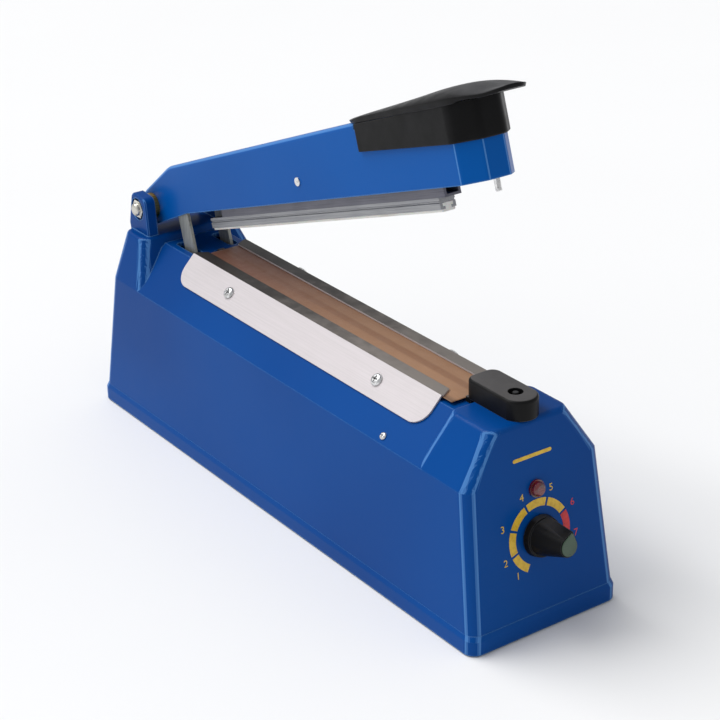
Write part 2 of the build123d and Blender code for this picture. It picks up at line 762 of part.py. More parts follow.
board_screw = pan_screw(1.25, 2.5, 1.3, 9.0)
board_screw_planes = [Plane(origin=(x, y, board_z), x_dir=(1, 0, 0), z_dir=(0, 0, -1)) for x, y in post_places]
save(placed(board_screw, board_screw_planes), "board_screws")

with BuildPart() as timer_board:
    with BuildSketch(Plane.XY.offset(board_z)):
        with Locations((0, board_y)):
            RectangleRounded(2 * board_half_width, board_rear - board_front, 1.5)
        with Locations(*post_places):
            Circle(1.3, mode=Mode.SUBTRACT)
    extrude(amount=board_sheet)
save(timer_board.part, "timer_board")

with BuildPart() as timer_relay:
    with Locations((6, board_y + 18, board_z - 7.8)):
        Box(19, 15.5, 15.4)
    fillet(timer_relay.edges().filter_by(Axis.Z), 1.0)
save(timer_relay.part, "timer_relay")

with BuildPart() as board_capacitors:
    for x, y, radius, height in ((-12, board_y + 17, 5.0, 14.0), (-12, board_y - 16, 4.0, 11.0),
                                 (12, board_y - 18, 3.2, 9.0)):
        with BuildSketch(Plane.XY.offset(board_z - 0.1)):
            with Locations((x, y)):
                Circle(radius)
        extrude(amount=-height)
    fillet(board_capacitors.faces().filter_by(Axis.Z).edges(), 0.5)
save(board_capacitors.part, "board_capacitors")

with BuildPart() as board_resistors:
    for y in (-22.0, -17.0, -12.0):
        with BuildSketch(Plane.YZ.offset(-6)):
            with Locations((board_y + y, board_z - 1.5)):
                Circle(1.3)
        extrude(amount=8)
save(board_resistors.part, "board_resistors")

# ---------------------------------------------------------------- transformer
core_floor = plate_bottom + plate_sheet
core_wide, core_stack, core_high = 54.0, 26.0, 45.0
leg = 9.0
frame_sheet = 1.4
core_low = core_floor + frame_sheet
window_wide = (core_wide - 4 * leg) / 2
window_high = core_high - 2 * leg
core_mid_z = core_low + core_high / 2

with BuildPart() as transformer_core:
    with Locations((0, core_y, core_mid_z)):
        Box(core_wide, core_stack, core_high)
        with GridLocations(2 * leg + window_wide, 1, 2, 1):
            Box(window_wide, core_stack, window_high, mode=Mode.SUBTRACT)
save(transformer_core.part, "transformer_core")

bobbin_gap = 0.2
with BuildPart() as transformer_bobbin:
    # tube round the centre leg with a flange at each end
    with Locations((0, core_y, core_mid_z)):
        Box(2 * leg + 2.4, core_stack + 2.4, window_high - 2 * bobbin_gap)
        for end in (-1, 1):
            with Locations((0, 0, end * (window_high / 2 - bobbin_gap - 0.6))):
                Box(2 * leg + 2 * window_wide - 0.6, core_stack + 16, 1.2)
        Box(2 * leg + 0.2, core_stack + 0.2, window_high, mode=Mode.SUBTRACT)
save(transformer_bobbin.part, "transformer_bobbin")

with BuildPart() as transformer_winding:
    with Locations((0, core_y, core_mid_z)):
        Box(2 * leg + 2 * window_wide - 1.4, core_stack + 13.5, window_high - 3.2)
    fillet(transformer_winding.edges().filter_by(Axis.Z), 3.0)
    with Locations((0, core_y, core_mid_z)):
        Box(2 * leg + 2.6, core_stack + 2.6, window_high, mode=Mode.SUBTRACT)
save(transformer_winding.part, "transformer_winding")

frame_foot = 33.0
with BuildPart() as transformer_frame:
    # channel over the core with a foot on each side
    with BuildSketch(Plane.XZ.offset(-core_y - 10)):
        half = core_wide / 2
        top = core_low + core_high
        with BuildLine():
            Polyline((-frame_foot, core_floor), (-half - frame_sheet + 1.2, core_floor),
                     (-half, core_floor), (-half, top), (half, top), (half, core_floor),
                     (frame_foot, core_floor), (frame_foot, core_floor + frame_sheet),
                     (half + frame_sheet, core_floor + frame_sheet), (half + frame_sheet, top + frame_sheet),
                     (-half - frame_sheet, top + frame_sheet), (-half - frame_sheet, core_floor + frame_sheet),
                     (-frame_foot, core_floor + frame_sheet), close=True)
        make_face()
    extrude(amount=20)
    with BuildSketch(Plane.XY.offset(core_floor - 1)):
        with Locations((-30.6, core_y), (30.6, core_y)):
            Circle(1.4)
    extrude(amount=4, mode=Mode.SUBTRACT)
save(transformer_frame.part, "transformer_frame")

frame_screw = pan_screw(1.3, 1.9, 1.2, 1.3)
frame_screw_planes = [Plane(origin=(x, core_y, core_floor + frame_sheet)) for x in (-30.6, 30.6)]
save(placed(frame_screw, frame_screw_planes), "transformer_screws")

# ---------------------------------------------------------------- mains side
with BuildPart() as terminal_block:
    with Locations((14, 62, core_floor + 6.5)):
        Box(30, 17, 13)
        with GridLocations(9.5, 0, 3, 1):
            with Locations((0, 0, 4.5)):
                Box(5.6, 19, 5.0, mode=Mode.SUBTRACT)
save(terminal_block.part, "terminal_block")

with BuildPart() as terminal_screws:
    with Locations((14, 62, core_floor)):
        with GridLocations(9.5, 9, 3, 2):
            with Locations((0, 0, 10.3)):
                Cylinder(1.9, 3.4)
save(terminal_screws.part, "terminal_screws")

with BuildPart() as cord_grommet:
    # outer flange, neck through the wall, inner collar
    for out, radius, depth in ((1.65, 6.8, 1.6), (0.05, grommet_neck_radius, wall + 0.4),
                               (-wall - 0.35, 6.8, 2.0)):
        with BuildSketch(inlet_plane.offset(out)):
            Circle(radius)
        extrude(amount=-depth)
    with BuildSketch(inlet_plane.offset(5)):
        Circle(cord_radius)
    extrude(amount=-15, mode=Mode.SUBTRACT)
save(cord_grommet.part, "cord_grommet")

# ---------------------------------------------------------------- lifting gear under the deck
pin_y, pin_z = about_hinge(link_pin_y, link_pin_z, -open_angle)      # link pin, arm open
rod_y = pin_y - link_length * sin(radians(link_lean))
cross_pin_z = pin_z - link_length * cos(radians(link_lean))
shut_lean = asin((link_pin_y - rod_y) / link_length)
seat_travel = cross_pin_z - (link_pin_z - link_length * cos(shut_lean))
rod_base_z = core_floor + 3.0
seat_face_z = cross_pin_z - 6.5
rod_top = seat_face_z - seat_travel - 1.5
spring_wire = 0.8
spring_radius = 6.4
spring_turns = 9
tube_radius = 4.4

with BuildPart() as spring_guide:
    with BuildSketch(Plane.XY.offset(core_floor)):
        with Locations((0, rod_y)):
            Circle(9.5)
    extrude(amount=rod_base_z - core_floor)
    with BuildSketch(Plane.XY.offset(rod_base_z)):
        with Locations((0, rod_y)):
            Circle(3.0)
    extrude(amount=rod_top - rod_base_z)
    chamfer(spring_guide.edges().sort_by(Axis.Z)[-1], 0.6)
save(spring_guide.part, "spring_guide")

with BuildPart() as spring_seat:
    with BuildSketch(Plane.XY.offset(seat_face_z)):
        with Locations((0, rod_y)):
            Circle(8.2)
    extrude(amount=2.4)
    with BuildSketch(Plane.XY.offset(seat_face_z - 12)):
        with Locations((0, rod_y)):
            Circle(tube_radius)
    extrude(amount=12 + 10)
    with BuildSketch(Plane.XY.offset(seat_face_z - 12)):
        with Locations((0, rod_y)):
            Circle(3.0 + running_gap)
    extrude(amount=12, mode=Mode.SUBTRACT)
    with BuildSketch(Plane.YZ.offset(-12)):
        with Locations((rod_y, cross_pin_z)):
            Circle(link_pin_radius)
    extrude(amount=24)
save(spring_seat.part, "spring_seat")

spring_low = rod_base_z + spring_wire + 0.05
spring_high = seat_face_z - spring_wire - 0.05
with BuildPart() as lift_spring:
    with BuildLine(Plane(origin=(0, rod_y, spring_low))):
        coil = Helix(pitch=(spring_high - spring_low) / spring_turns, height=spring_high - spring_low,
                     radius=spring_radius)
    with BuildSketch(Plane(origin=coil @ 0, z_dir=coil % 0)):
        Circle(spring_wire)
    sweep(path=coil)
save(lift_spring.part, "lift_spring")

link_side = Plane(origin=(0, pin_y, pin_z), x_dir=(0, cos(radians(link_lean)), -sin(radians(link_lean))),
                  z_dir=(1, 0, 0))
with BuildPart() as lift_link:
    for side in (-1, 1):
        with BuildSketch(link_side.offset(side * strap_half_spacing - strap_sheet / 2)):
            with Locations((0, -link_length / 2)):
                SlotOverall(link_length + strap_width, strap_width, rotation=90)
            Circle(link_pin_radius + running_gap, mode=Mode.SUBTRACT)
            with Locations((0, -link_length)):
                Circle(link_pin_radius + 0.6, mode=Mode.SUBTRACT)
        extrude(amount=strap_sheet)
    # cross web that ties the straps below the deck
    with BuildSketch(link_side.offset(-strap_half_spacing)):
        with Locations((0, -37.0)):
            Rectangle(strap_sheet, 8.0)
    extrude(amount=2 * strap_half_spacing)
save(lift_link.part, "lift_link")

# ---------------------------------------------------------------- arm
arm_inner = arm_half_width - arm_wall


def arm_top(y):
    return arm_top_z + (arm_top_y - y) * tan(radians(arm_top_slope))


def arm_bottom(y):
    return arm_bottom_z + (arm_bottom_y - y) * tan(radians(arm_bottom_slope))


def nose_plan(grow):
    """Plan of the arm from behind the hinge to the bevelled nose, moved outwards by grow."""
    half = arm_half_width + grow
    bevel_side = nose_y + nose_bevel - grow * 0.41
    front_half = arm_half_width - nose_bevel + grow * 0.41
    with BuildSketch() as plan:
        with BuildLine():
            Polyline((-half, 160), (-half, bevel_side), (-front_half, nose_y - grow),
                     (front_half, nose_y - grow), (half, bevel_side), (half, 160), close=True)
        make_face()
    return plan.sketch


def arm_side(inset):
    """Side view of the arm, every face moved inwards by inset."""
    tail = (134.6, hinge_z - 9.38)
    crown = (139.6, hinge_z + 8.8)
    brow = (113.6, arm_top(113.6))
    front = nose_y - 1
    with BuildSketch() as view:
        with BuildLine():
            Polyline((front, arm_bottom(front)), (arm_bottom_y, arm_bottom_z), tail, crown, brow,
                     (front, arm_top(front)), close=True)
        make_face()
        fillet(view.vertices().sort_by_distance((brow[0], brow[1], 0))[0], 20)
        with Locations((hinge_y, hinge_z)):
            Circle(arm_end_radius)
        if inset > 0:
            offset(amount=-inset, kind=Kind.INTERSECTION)
    return view.sketch


with BuildPart() as arm_form:
    with BuildSketch(Plane.YZ.offset(-arm_half_width)):
        add(arm_side(0))
    extrude(amount=2 * arm_half_width)
    with BuildSketch(Plane.XY.offset(60)):
        add(nose_plan(0))
    extrude(amount=120, mode=Mode.INTERSECT)
    uprights = arm_form.edges().filter_by(lambda e: e.center().Y < nose_y + nose_bevel + 1
                                          and abs((e % 0.5).Z) > 0.99)
    fillet(uprights, 2.6)
    rims = arm_form.edges().filter_by(lambda e: abs(e.center().Z - arm_top(e.center().Y)) < 1.5
                                      and e.center().Y < arm_top_y)
    fillet(rims, 2.0)

with BuildPart() as arm_cavity:
    with BuildSketch(Plane.YZ.offset(-arm_inner)):
        add(arm_side(arm_wall))
    extrude(amount=2 * arm_inner)
    with BuildSketch(Plane.YZ.offset(-arm_inner)):
        with BuildLine():
            Polyline((nose_y + 0.5, 80), (hinge_y + 5.2, 80), (hinge_y + 5.2, hinge_z), (100, hinge_z + 8),
                     (nose_y + 0.5, arm_bottom(nose_y) + 12), close=True)
        make_face()
    extrude(amount=2 * arm_inner)
    with BuildSketch(Plane.XY.offset(60)):
        add(nose_plan(-arm_wall))
    extrude(amount=120, mode=Mode.INTERSECT)

push_pin_radius = 1.3
push_boss_z = arm_bottom(nose_y) + 1.5
grip_seat_y = grip_rear + 3.0
grip_screw_places = (-76.0, -112.0)
with BuildPart() as arm_shell:
    add(arm_form.part)
    add(arm_cavity.part, mode=Mode.SUBTRACT)
    # boss in the nose for the switch push pin
    with BuildSketch(Plane.XY.offset(push_boss_z)):
        with Locations((0, plunger_y + 1.2)):
            RectangleRounded(8.4, 7.0, 1.0)
    extrude(amount=16)
    with BuildSketch(Plane.XY.offset(push_boss_z - 4)):
        with Locations((0, plunger_y)):
            Circle(push_pin_radius)
    extrude(amount=16, mode=Mode.SUBTRACT)
    # step for the grip
    with BuildSketch(Plane.YZ.offset(-arm_half_width - 1)):
        with BuildLine():
            Polyline((grip_seat_y, arm_top(grip_seat_y) - grip_seat_drop), (grip_seat_y, 160), (-150, 160),
                     (-150, arm_top(-150) - grip_seat_drop), close=True)
        make_face()
    extrude(amount=2 * arm_half_width + 2, mode=Mode.SUBTRACT)
    # roof plate closes the shell again under the grip
    with BuildSketch(Plane.YZ.offset(-arm_inner - 0.5)):
        with BuildLine():
            low_y, high_y = nose_y + 1.0, grip_seat_y + 2.0
            Polyline((low_y, arm_top(low_y) - grip_seat_drop), (high_y, arm_top(high_y) - grip_seat_drop),
                     (high_y, arm_top(high_y) - grip_seat_drop - arm_wall),
                     (low_y, arm_top(low_y) - grip_seat_drop - arm_wall), close=True)
        make_face()
    extrude(amount=2 * arm_inner + 1)
    with BuildSketch(Plane.XY.offset(60)):
        add(nose_plan(0))
    extrude(amount=120, mode=Mode.INTERSECT)
    # bores: hinge bushes, bar pivot pin, blind seats for the link pin, grip screws
    for y, z, radius, half in ((hinge_y, hinge_z, 4.6, 20), (bar_pivot_y, bar_pivot_z, bar_pin_radius, 20),
                               (link_pin_y, link_pin_z, link_pin_radius, 12.5)):
        with BuildSketch(Plane.YZ.offset(-half)):
            with Locations((y, z)):
                Circle(radius)
        extrude(amount=2 * half, mode=Mode.SUBTRACT)
    with BuildSketch(Plane.XY.offset(130)):
        with Locations(*[(0, y) for y in grip_screw_places]):
            Circle(1.6)
    extrude(amount=20, mode=Mode.SUBTRACT)
save(opened(arm_shell.part), "arm_shell")

with BuildPart() as hinge_bushes:
    for side in (-1, 1):
        for start, end, radius in ((9.0, ear_inner - 0.3, 4.6), (arm_half_width, ear_inner - 0.3, 6.4)):
            with BuildSketch(Plane.YZ.offset(side * start)):
                with Locations((hinge_y, hinge_z)):
                    Circle(radius)
            extrude(amount=side * (end - start))
    with BuildSketch(Plane.YZ.offset(-ear_inner)):
        with Locations((hinge_y, hinge_z)):
            Circle(hinge_pin_radius + running_gap)
    extrude(amount=2 * ear_inner, mode=Mode.SUBTRACT)
save(opened(hinge_bushes.part), "hinge_bushes")

with BuildPart() as hinge_pin:
    with BuildSketch(Plane.YZ.offset(-ear_outer)):
        with Locations((hinge_y, hinge_z)):
            Circle(hinge_pin_radius)
    extrude(amount=2 * ear_outer)
save(hinge_pin.part, "hinge_pin")

with BuildPart() as cap_nut:
    with BuildSketch():
        RegularPolygon(4.3, 6, major_radius=False)
    extrude(amount=2.4)
    chamfer(cap_nut.edges().group_by(Axis.Z)[-1], 0.5)
    with BuildSketch(Plane.XY.offset(2.0)):
        Circle(3.3)
    extrude(amount=2.2)
    fillet(cap_nut.edges().group_by(Axis.Z)[-1], 1.6)
    with BuildSketch():
        Circle(hinge_pin_radius)
    extrude(amount=recess_depth, mode=Mode.SUBTRACT)
nut_planes = [Plane(origin=(side * (ear_outer - recess_depth), hinge_y, hinge_z), x_dir=(0, 1, 0),
                    z_dir=(side, 0, 0)) for side in (-1, 1)]
save(placed(cap_nut.part, nut_planes), "hinge_nuts")

with BuildPart() as link_pin:
    with BuildSketch(Plane.YZ.offset(-12.5)):
        with Locations((link_pin_y, link_pin_z)):
            Circle(link_pin_radius)
    extrude(amount=25)
save(opened(link_pin.part), "link_pin")

with BuildPart() as bar_pivot_pin:
    with BuildSketch(Plane.YZ.offset(-arm_half_width - 0.1)):
        with Locations((bar_pivot_y, bar_pivot_z)):
            Circle(bar_pin_radius)
    extrude(amount=2 * arm_half_width + 0.2)
    for side in (-1, 1):
        with BuildSketch(Plane.YZ.offset(side * arm_half_width)):
            with Locations((bar_pivot_y, bar_pivot_z)):
                Circle(bar_pin_radius + 0.4)
        extrude(amount=side * 0.5)
save(opened(bar_pivot_pin.part), "bar_pivot_pin")

push_pin_tip = plunger_top + push_gap
with BuildPart() as switch_push_pin:
    with BuildSketch(Plane.XY.offset(push_pin_tip)):
        with Locations((0, plunger_y)):
            Circle(push_pin_radius)
    extrude(amount=push_boss_z + 12 - push_pin_tip)
    fillet(switch_push_pin.edges().sort_by(Axis.Z)[0], 0.5)
save(opened(switch_push_pin.part), "switch_push_pin")

# ---------------------------------------------------------------- grip
grip_points = ((-47.0, 6.0), (-53.0, 11.5), (grip_rear, 15.0), (-100.0, 16.2), (-127.0, 17.0), (-141.0, 14.4),
               (-149.5, 10.0), (grip_lip_y, 5.5))
with BuildPart() as grip_form:
    # skirt round the front of the arm
    with BuildSketch(Plane.XY.offset(grip_bottom_z)):
        add(nose_plan(grip_wall))
        with Locations((0, grip_rear + 150)):
            Rectangle(60, 300, mode=Mode.SUBTRACT)
    extrude(amount=22)
    # palm plate: plan outline under a crowned side profile
    with BuildSketch(Plane.XY.offset(grip_bottom_z + 6)) as palm_plan:
        with BuildLine():
            right = Spline(*[(x, y) for y, x in grip_points])
            left = Spline(*[(-x, y) for y, x in grip_points])
            Line(right @ 0, left @ 0)
            Line(right @ 1, left @ 1)
        make_face()
    extrude(amount=20)
    with BuildSketch(Plane.YZ.offset(-30)):
        with BuildLine():
            top = Spline((-46.0, 137.9), (-74.0, 140.6), (-95.0, 143.0), (-115.0, 145.4), (-130.0, 145.9),
                         (-142.0, 143.9), (grip_lip_y, 143.8))
            Polyline(top @ 1, (grip_lip_y, 142.2), (nose_y - grip_wall, 139.5), (nose_y - grip_wall, grip_bottom_z),
                     (grip_rear, grip_bottom_z), (grip_rear, arm_top(grip_rear) - 2),
                     (grip_seat_y, arm_top(grip_seat_y)), (-46.0, arm_top(-46.0)), top @ 0)
        make_face()
    extrude(amount=60, mode=Mode.INTERSECT)
with BuildPart() as grip_core:
    with BuildSketch(Plane.XY.offset(grip_bottom_z - 2)):
        add(nose_plan(0.05))
    extrude(amount=40)
    with BuildSketch(Plane.YZ.offset(-30)):
        with BuildLine():
            Polyline((grip_seat_y, 60), (grip_seat_y, arm_top(grip_seat_y) - grip_seat_drop),
                     (-150, arm_top(-150) - grip_seat_drop), (-150, 60), close=True)
        make_face()
        with BuildLine():
            Polyline((grip_seat_y, 60), (-20, 60), (-20, arm_top(-20)), (grip_seat_y, arm_top(grip_seat_y)),
                     close=True)
        make_face()
    extrude(amount=60, mode=Mode.INTERSECT)
with BuildPart() as handle_grip:
    add(grip_form.part)
    add(grip_core.part, mode=Mode.SUBTRACT)
    for y in grip_screw_places:
        with BuildSketch(Plane.XY.offset(arm_top(y) - grip_seat_drop - 1.0)):
            with Locations((0, y)):
                Circle(1.25)
        extrude(amount=5.0, mode=Mode.SUBTRACT)
save(opened(handle_grip.part), "handle_grip")

grip_screw = pan_screw(1.25, 2.6, 1.4, 6.0)
grip_screw_planes = [Plane(origin=(0, y, arm_top(y) - grip_seat_drop - arm_wall - 0.2), x_dir=(1, 0, 0),
                           z_dir=(0, 0, -1)) for y in grip_screw_places]
save(opened(placed(grip_screw, grip_screw_planes)), "grip_screws")

# ---------------------------------------------------------------- pressure bar
channel_high = 110.6
bar_screw_places = (-70.0, bar_pivot_y, 60.0)
with BuildPart() as pressure_channel:
    with BuildSketch(Plane.YZ.offset(-channel_half_width)):
        with BuildLine():
            Polyline((channel_rear, bar_top_z), (channel_front, bar_top_z), (channel_front, channel_high),
                     (bar_pivot_y - 9, channel_high), (bar_pivot_y - 5, bar_pivot_z + 4.6),
                     (bar_pivot_y + 5, bar_pivot_z + 4.6), (bar_pivot_y + 9, channel_high),
                     (channel_rear, channel_high), close=True)
        make_face()
    extrude(amount=2 * channel_half_width)
    with BuildSketch(Plane.XZ.offset(-150)):
        with Locations((0, bar_top_z + channel_sheet + 20)):
            Rectangle(2 * (channel_half_width - channel_sheet), 40)
    extrude(amount=300, mode=Mode.SUBTRACT)
    with BuildSketch(Plane.YZ.offset(-20)):
        with Locations((bar_pivot_y, bar_pivot_z)):
            Circle(bar_pin_radius + running_gap)
    extrude(amount=40, mode=Mode.SUBTRACT)
    with BuildSketch(Plane.XY.offset(bar_top_z - 1)):
        with Locations(*[(0, y) for y in bar_screw_places]):
            Circle(1.1)
    extrude(amount=4, mode=Mode.SUBTRACT)
save(hung(pressure_channel.part), "pressure_channel")

bar_length = bar_rear - bar_front
silicone_bottom = platform_top + 0.3
with BuildPart() as pressure_bar:
    with BuildSketch(Plane.XZ.offset(-bar_rear)):
        with BuildLine():
            mouth, pocket = slot_mouth, slot_pocket
            Polyline((-bar_half_width, bar_top_z), (bar_half_width, bar_top_z), (bar_half_width, bar_bottom_z),
                     (mouth, bar_bottom_z), (mouth, bar_bottom_z + 1.1), (pocket, bar_bottom_z + 1.1),
                     (pocket, bar_bottom_z + 2.6), (-pocket, bar_bottom_z + 2.6), (-pocket, bar_bottom_z + 1.1),
                     (-mouth, bar_bottom_z + 1.1), (-mouth, bar_bottom_z), (-bar_half_width, bar_bottom_z),
                     close=True)
        make_face()
        # shallow grooves along both sides of the extrusion
        with Locations((-bar_half_width, bar_top_z - 1.9), (bar_half_width, bar_top_z - 1.9)):
            Circle(0.45, mode=Mode.SUBTRACT)
    extrude(amount=bar_length)
    with BuildSketch(Plane.XY.offset(bar_top_z - 2.1)):
        with Locations(*[(0, y) for y in bar_screw_places]):
            Circle(1.0)
    extrude(amount=4, mode=Mode.SUBTRACT)
save(hung(pressure_bar.part), "pressure_bar")

with BuildPart() as silicone_strip:
    with BuildSketch(Plane.XZ.offset(-bar_rear)):
        with BuildLine():
            foot, lip = silicone_half_width, bar_bottom_z - 0.05
            Polyline((-foot, silicone_bottom + 0.3), (-foot + 0.3, silicone_bottom), (foot - 0.3, silicone_bottom),
                     (foot, silicone_bottom + 0.3), (foot, lip), (mouth, lip), (mouth, bar_bottom_z + 1.1),
                     (pocket, bar_bottom_z + 1.1), (pocket, bar_bottom_z + 2.5), (-pocket, bar_bottom_z + 2.5),
                     (-pocket, bar_bottom_z + 1.1), (-mouth, bar_bottom_z + 1.1), (-mouth, lip), (-foot, lip),
                     close=True)
        make_face()
    extrude(amount=bar_length)
save(hung(silicone_strip.part), "silicone_strip")

bar_screw = pan_screw(0.98, 2.3, 1.2, 3.2)
bar_screw_planes = [Plane(origin=(0, y, bar_top_z + channel_sheet)) for y in bar_screw_places]
save(hung(placed(bar_screw, bar_screw_planes)), "pressure_bar_screws")
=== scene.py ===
"""Looks of the impulse heat sealer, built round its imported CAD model.  Metres, +Z up."""

import json
from math import cos, radians, sin, tan

import bmesh
import bpy
from mathutils import Matrix, Vector


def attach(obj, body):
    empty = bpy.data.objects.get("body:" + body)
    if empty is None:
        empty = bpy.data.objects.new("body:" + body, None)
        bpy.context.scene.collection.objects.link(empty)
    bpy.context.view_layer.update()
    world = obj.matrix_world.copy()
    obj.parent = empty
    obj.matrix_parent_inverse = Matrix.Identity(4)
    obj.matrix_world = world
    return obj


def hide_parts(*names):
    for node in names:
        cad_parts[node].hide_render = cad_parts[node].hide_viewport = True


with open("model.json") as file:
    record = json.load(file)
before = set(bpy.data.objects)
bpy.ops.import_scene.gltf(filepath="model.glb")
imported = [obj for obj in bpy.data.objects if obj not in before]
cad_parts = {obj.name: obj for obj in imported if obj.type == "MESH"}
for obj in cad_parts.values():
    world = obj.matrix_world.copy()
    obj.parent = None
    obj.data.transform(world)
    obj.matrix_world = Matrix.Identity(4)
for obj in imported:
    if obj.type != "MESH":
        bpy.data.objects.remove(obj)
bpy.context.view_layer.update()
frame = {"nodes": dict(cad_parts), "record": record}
nodes = frame["nodes"]

# Lengths are in millimetres about the middle of the base, and MM turns them into metres.
MM = 0.001
SHIFT = 6.8                     # from the middle of the base to the row frame's origin, along Y
HINGE = (136.0, 105.8)          # (y, z) of the arm's hinge
OPEN = 18.0                     # degrees from shut to the rest pose
PIVOT = (-5.5, 113.0)           # (y, z) of the pin that the pressure bar hangs on, arm shut
ROCK = 1.5                      # degrees the pressure bar hangs low at rest
PANEL_TILT = radians(8.297)     # the front panel leans back by this much
PANEL_FOOT = -154.967           # y where the plane of the front panel meets z = 0


# ---------------------------------------------------------------- places
def turned(y, z, centre, angle):
    """(y, z) turned about centre by angle in degrees, positive closes the arm."""
    a = radians(angle)
    dy, dz = y - centre[0], z - centre[1]
    return centre[0] + dy * cos(a) - dz * sin(a), centre[1] + dy * sin(a) + dz * cos(a)


def fixed(x, y, z):
    """A point of the base, from millimetres about its middle to the row frame."""
    return Vector((x * MM, (y + SHIFT) * MM, z * MM))


def on_arm(x, y, z):
    """A point of the arm, given with the arm shut, in the open rest pose."""
    return fixed(x, *turned(y, z, HINGE, -OPEN))


def on_bar(x, y, z):
    """A point of the pressure bar, given level and shut, in the rest pose."""
    return on_arm(x, *turned(y, z, PIVOT, -ROCK))


def on_panel(x, up, out):
    """A point on the front panel: x to the right, up the slope, out of the face."""
    y = PANEL_FOOT + up * sin(PANEL_TILT) - out * cos(PANEL_TILT)
    return fixed(x, y, up * cos(PANEL_TILT) + out * sin(PANEL_TILT))


# ---------------------------------------------------------------- materials
def linear(level):
    """One display channel, 0..255, as a linear value."""
    share = level / 255
    return share / 12.92 if level <= 10 else ((share + 0.055) / 1.055) ** 2.4


def rgb(r, g, b):
    """Display colour 0..255 as linear values."""
    return linear(r), linear(g), linear(b), 1.0


class Surface:
    """One procedural material, built up step by step on object coordinates in metres."""

    def __init__(self, name, colour, roughness=0.5, metallic=0.0):
        self.material = bpy.data.materials.new(name)
        self.material.use_nodes = True
        self.tree = self.material.node_tree
        self.shader = self.tree.nodes["Principled BSDF"]
        self.shader.inputs["Metallic"].default_value = metallic
        self.shader.inputs["Base Color"].default_value = colour
        self.shader.inputs["Roughness"].default_value = roughness
        self.place = self.add("ShaderNodeTexCoord").outputs["Object"]
        self.colour = self.add("ShaderNodeRGB").outputs[0]
        self.colour.default_value = colour
        self.normal = None

    def add(self, kind, **values):
        node = self.tree.nodes.new(kind)
        for key, value in values.items():
            setattr(node, key, value)
        return node

    def link(self, a, b):
        self.tree.links.new(a, b)

    def noise(self, scale, stretch=(1, 1, 1), detail=3.0, rough=0.55, tilt=0.0):
        turn = self.add("ShaderNodeMapping")
        turn.inputs["Rotation"].default_value = (radians(tilt), 0, 0)
        self.link(self.place, turn.inputs["Vector"])
        mapping = self.add("ShaderNodeMapping")
        mapping.inputs["Scale"].default_value = stretch
        self.link(turn.outputs["Vector"], mapping.inputs["Vector"])
        noise = self.add("ShaderNodeTexNoise")
        noise.inputs["Scale"].default_value = scale
        noise.inputs["Detail"].default_value = detail
        noise.inputs["Roughness"].default_value = rough
        self.link(mapping.outputs["Vector"], noise.inputs["Vector"])
        return noise.outputs["Fac"]

    def wave(self, scale, direction="X", distortion=0.0):
        wave = self.add("ShaderNodeTexWave", wave_type="BANDS", bands_direction=direction)
        wave.inputs["Scale"].default_value = scale
        wave.inputs["Distortion"].default_value = distortion
        wave.inputs["Detail Scale"].default_value = 2.0
        self.link(self.place, wave.inputs["Vector"])
        return wave.outputs["Fac"]

    def span(self, value, low, high, to_low=0.0, to_high=1.0, smooth=False):
        node = self.add("ShaderNodeMapRange", interpolation_type="SMOOTHSTEP" if smooth else "LINEAR")
        for name, number in (("From Min", low), ("From Max", high), ("To Min", to_low), ("To Max", to_high)):
            node.inputs[name].default_value = number
        self.link(value, node.inputs["Value"])
        return node.outputs["Result"]

    def axis(self, letter):
        node = self.add("ShaderNodeSeparateXYZ")
        self.link(self.place, node.inputs["Vector"])
        return node.outputs[letter]

    def true_normal(self):
        """The X, Y and Z sockets of the mesh's own normal."""
        node = self.add("ShaderNodeSeparateXYZ")
        self.link(self.add("ShaderNodeNewGeometry").outputs["True Normal"], node.inputs["Vector"])
        return node.outputs

    def facing_up(self):
        """1 on faces that look straight up."""
        return self.span(self.true_normal()["Z"], 0.88, 0.97)

    def corner_highlight_lines(self):
        """1 where an upright rounded corner runs out into the walls beside it, where the paint gets painted
        highlight lines.
        """
        normal = self.true_normal()
        lean = self.math("ABSOLUTE", self.math("MULTIPLY", normal["X"], normal["Y"]), 0.0)
        return self.math("MULTIPLY", self.span(lean, 0.10, 0.16), self.span(lean, 0.36, 0.30))

    def math(self, operation, a, b):
        node = self.add("ShaderNodeMath", operation=operation)
        for socket, value in zip(node.inputs, (a, b)):
            if isinstance(value, (int, float)):
                socket.default_value = value
            else:
                self.link(value, socket)
        return node.outputs[0]

    def blend(self, colour, amount):
        """Mixes colour over what is there, by amount, a socket from 0 to 1."""
        mix = self.add("ShaderNodeMix", data_type="RGBA")
        self.link(amount, mix.inputs["Factor"])
        self.link(self.colour, mix.inputs["A"])
        mix.inputs["B"].default_value = colour
        self.colour = mix.outputs["Result"]
        return self

    def round_edges(self, radius):
        node = self.add("ShaderNodeBevel", samples=4)
        node.inputs["Radius"].default_value = radius
        self.normal = node.outputs["Normal"]
        return self

    def edge_mask(self, radius, low, high):
        """1 on edges and 0 on flat faces, from how far a rounded normal leans from the true one."""
        bevel = self.add("ShaderNodeBevel", samples=6)
        bevel.inputs["Radius"].default_value = radius
        flat = self.add("ShaderNodeNewGeometry").outputs["True Normal"]
        dot = self.add("ShaderNodeVectorMath", operation="DOT_PRODUCT")
        self.link(bevel.outputs["Normal"], dot.inputs[0])
        self.link(flat, dot.inputs[1])
        return self.span(dot.outputs["Value"], high, low, 0.0, 1.0, smooth=True)

    def bump(self, height, depth):
        node = self.add("ShaderNodeBump")
        node.inputs["Distance"].default_value = depth
        node.inputs["Strength"].default_value = 1.0
        self.link(height, node.inputs["Height"])
        if self.normal is not None:
            self.link(self.normal, node.inputs["Normal"])
        self.normal = node.outputs["Normal"]
        return self

    def vary_roughness(self, value, low, high):
        self.link(self.span(value, 0.3, 0.7, low, high), self.shader.inputs["Roughness"])
        return self

    def set(self, **values):
        for name, value in values.items():
            self.shader.inputs[name.replace("_", " ")].default_value = value
        return self

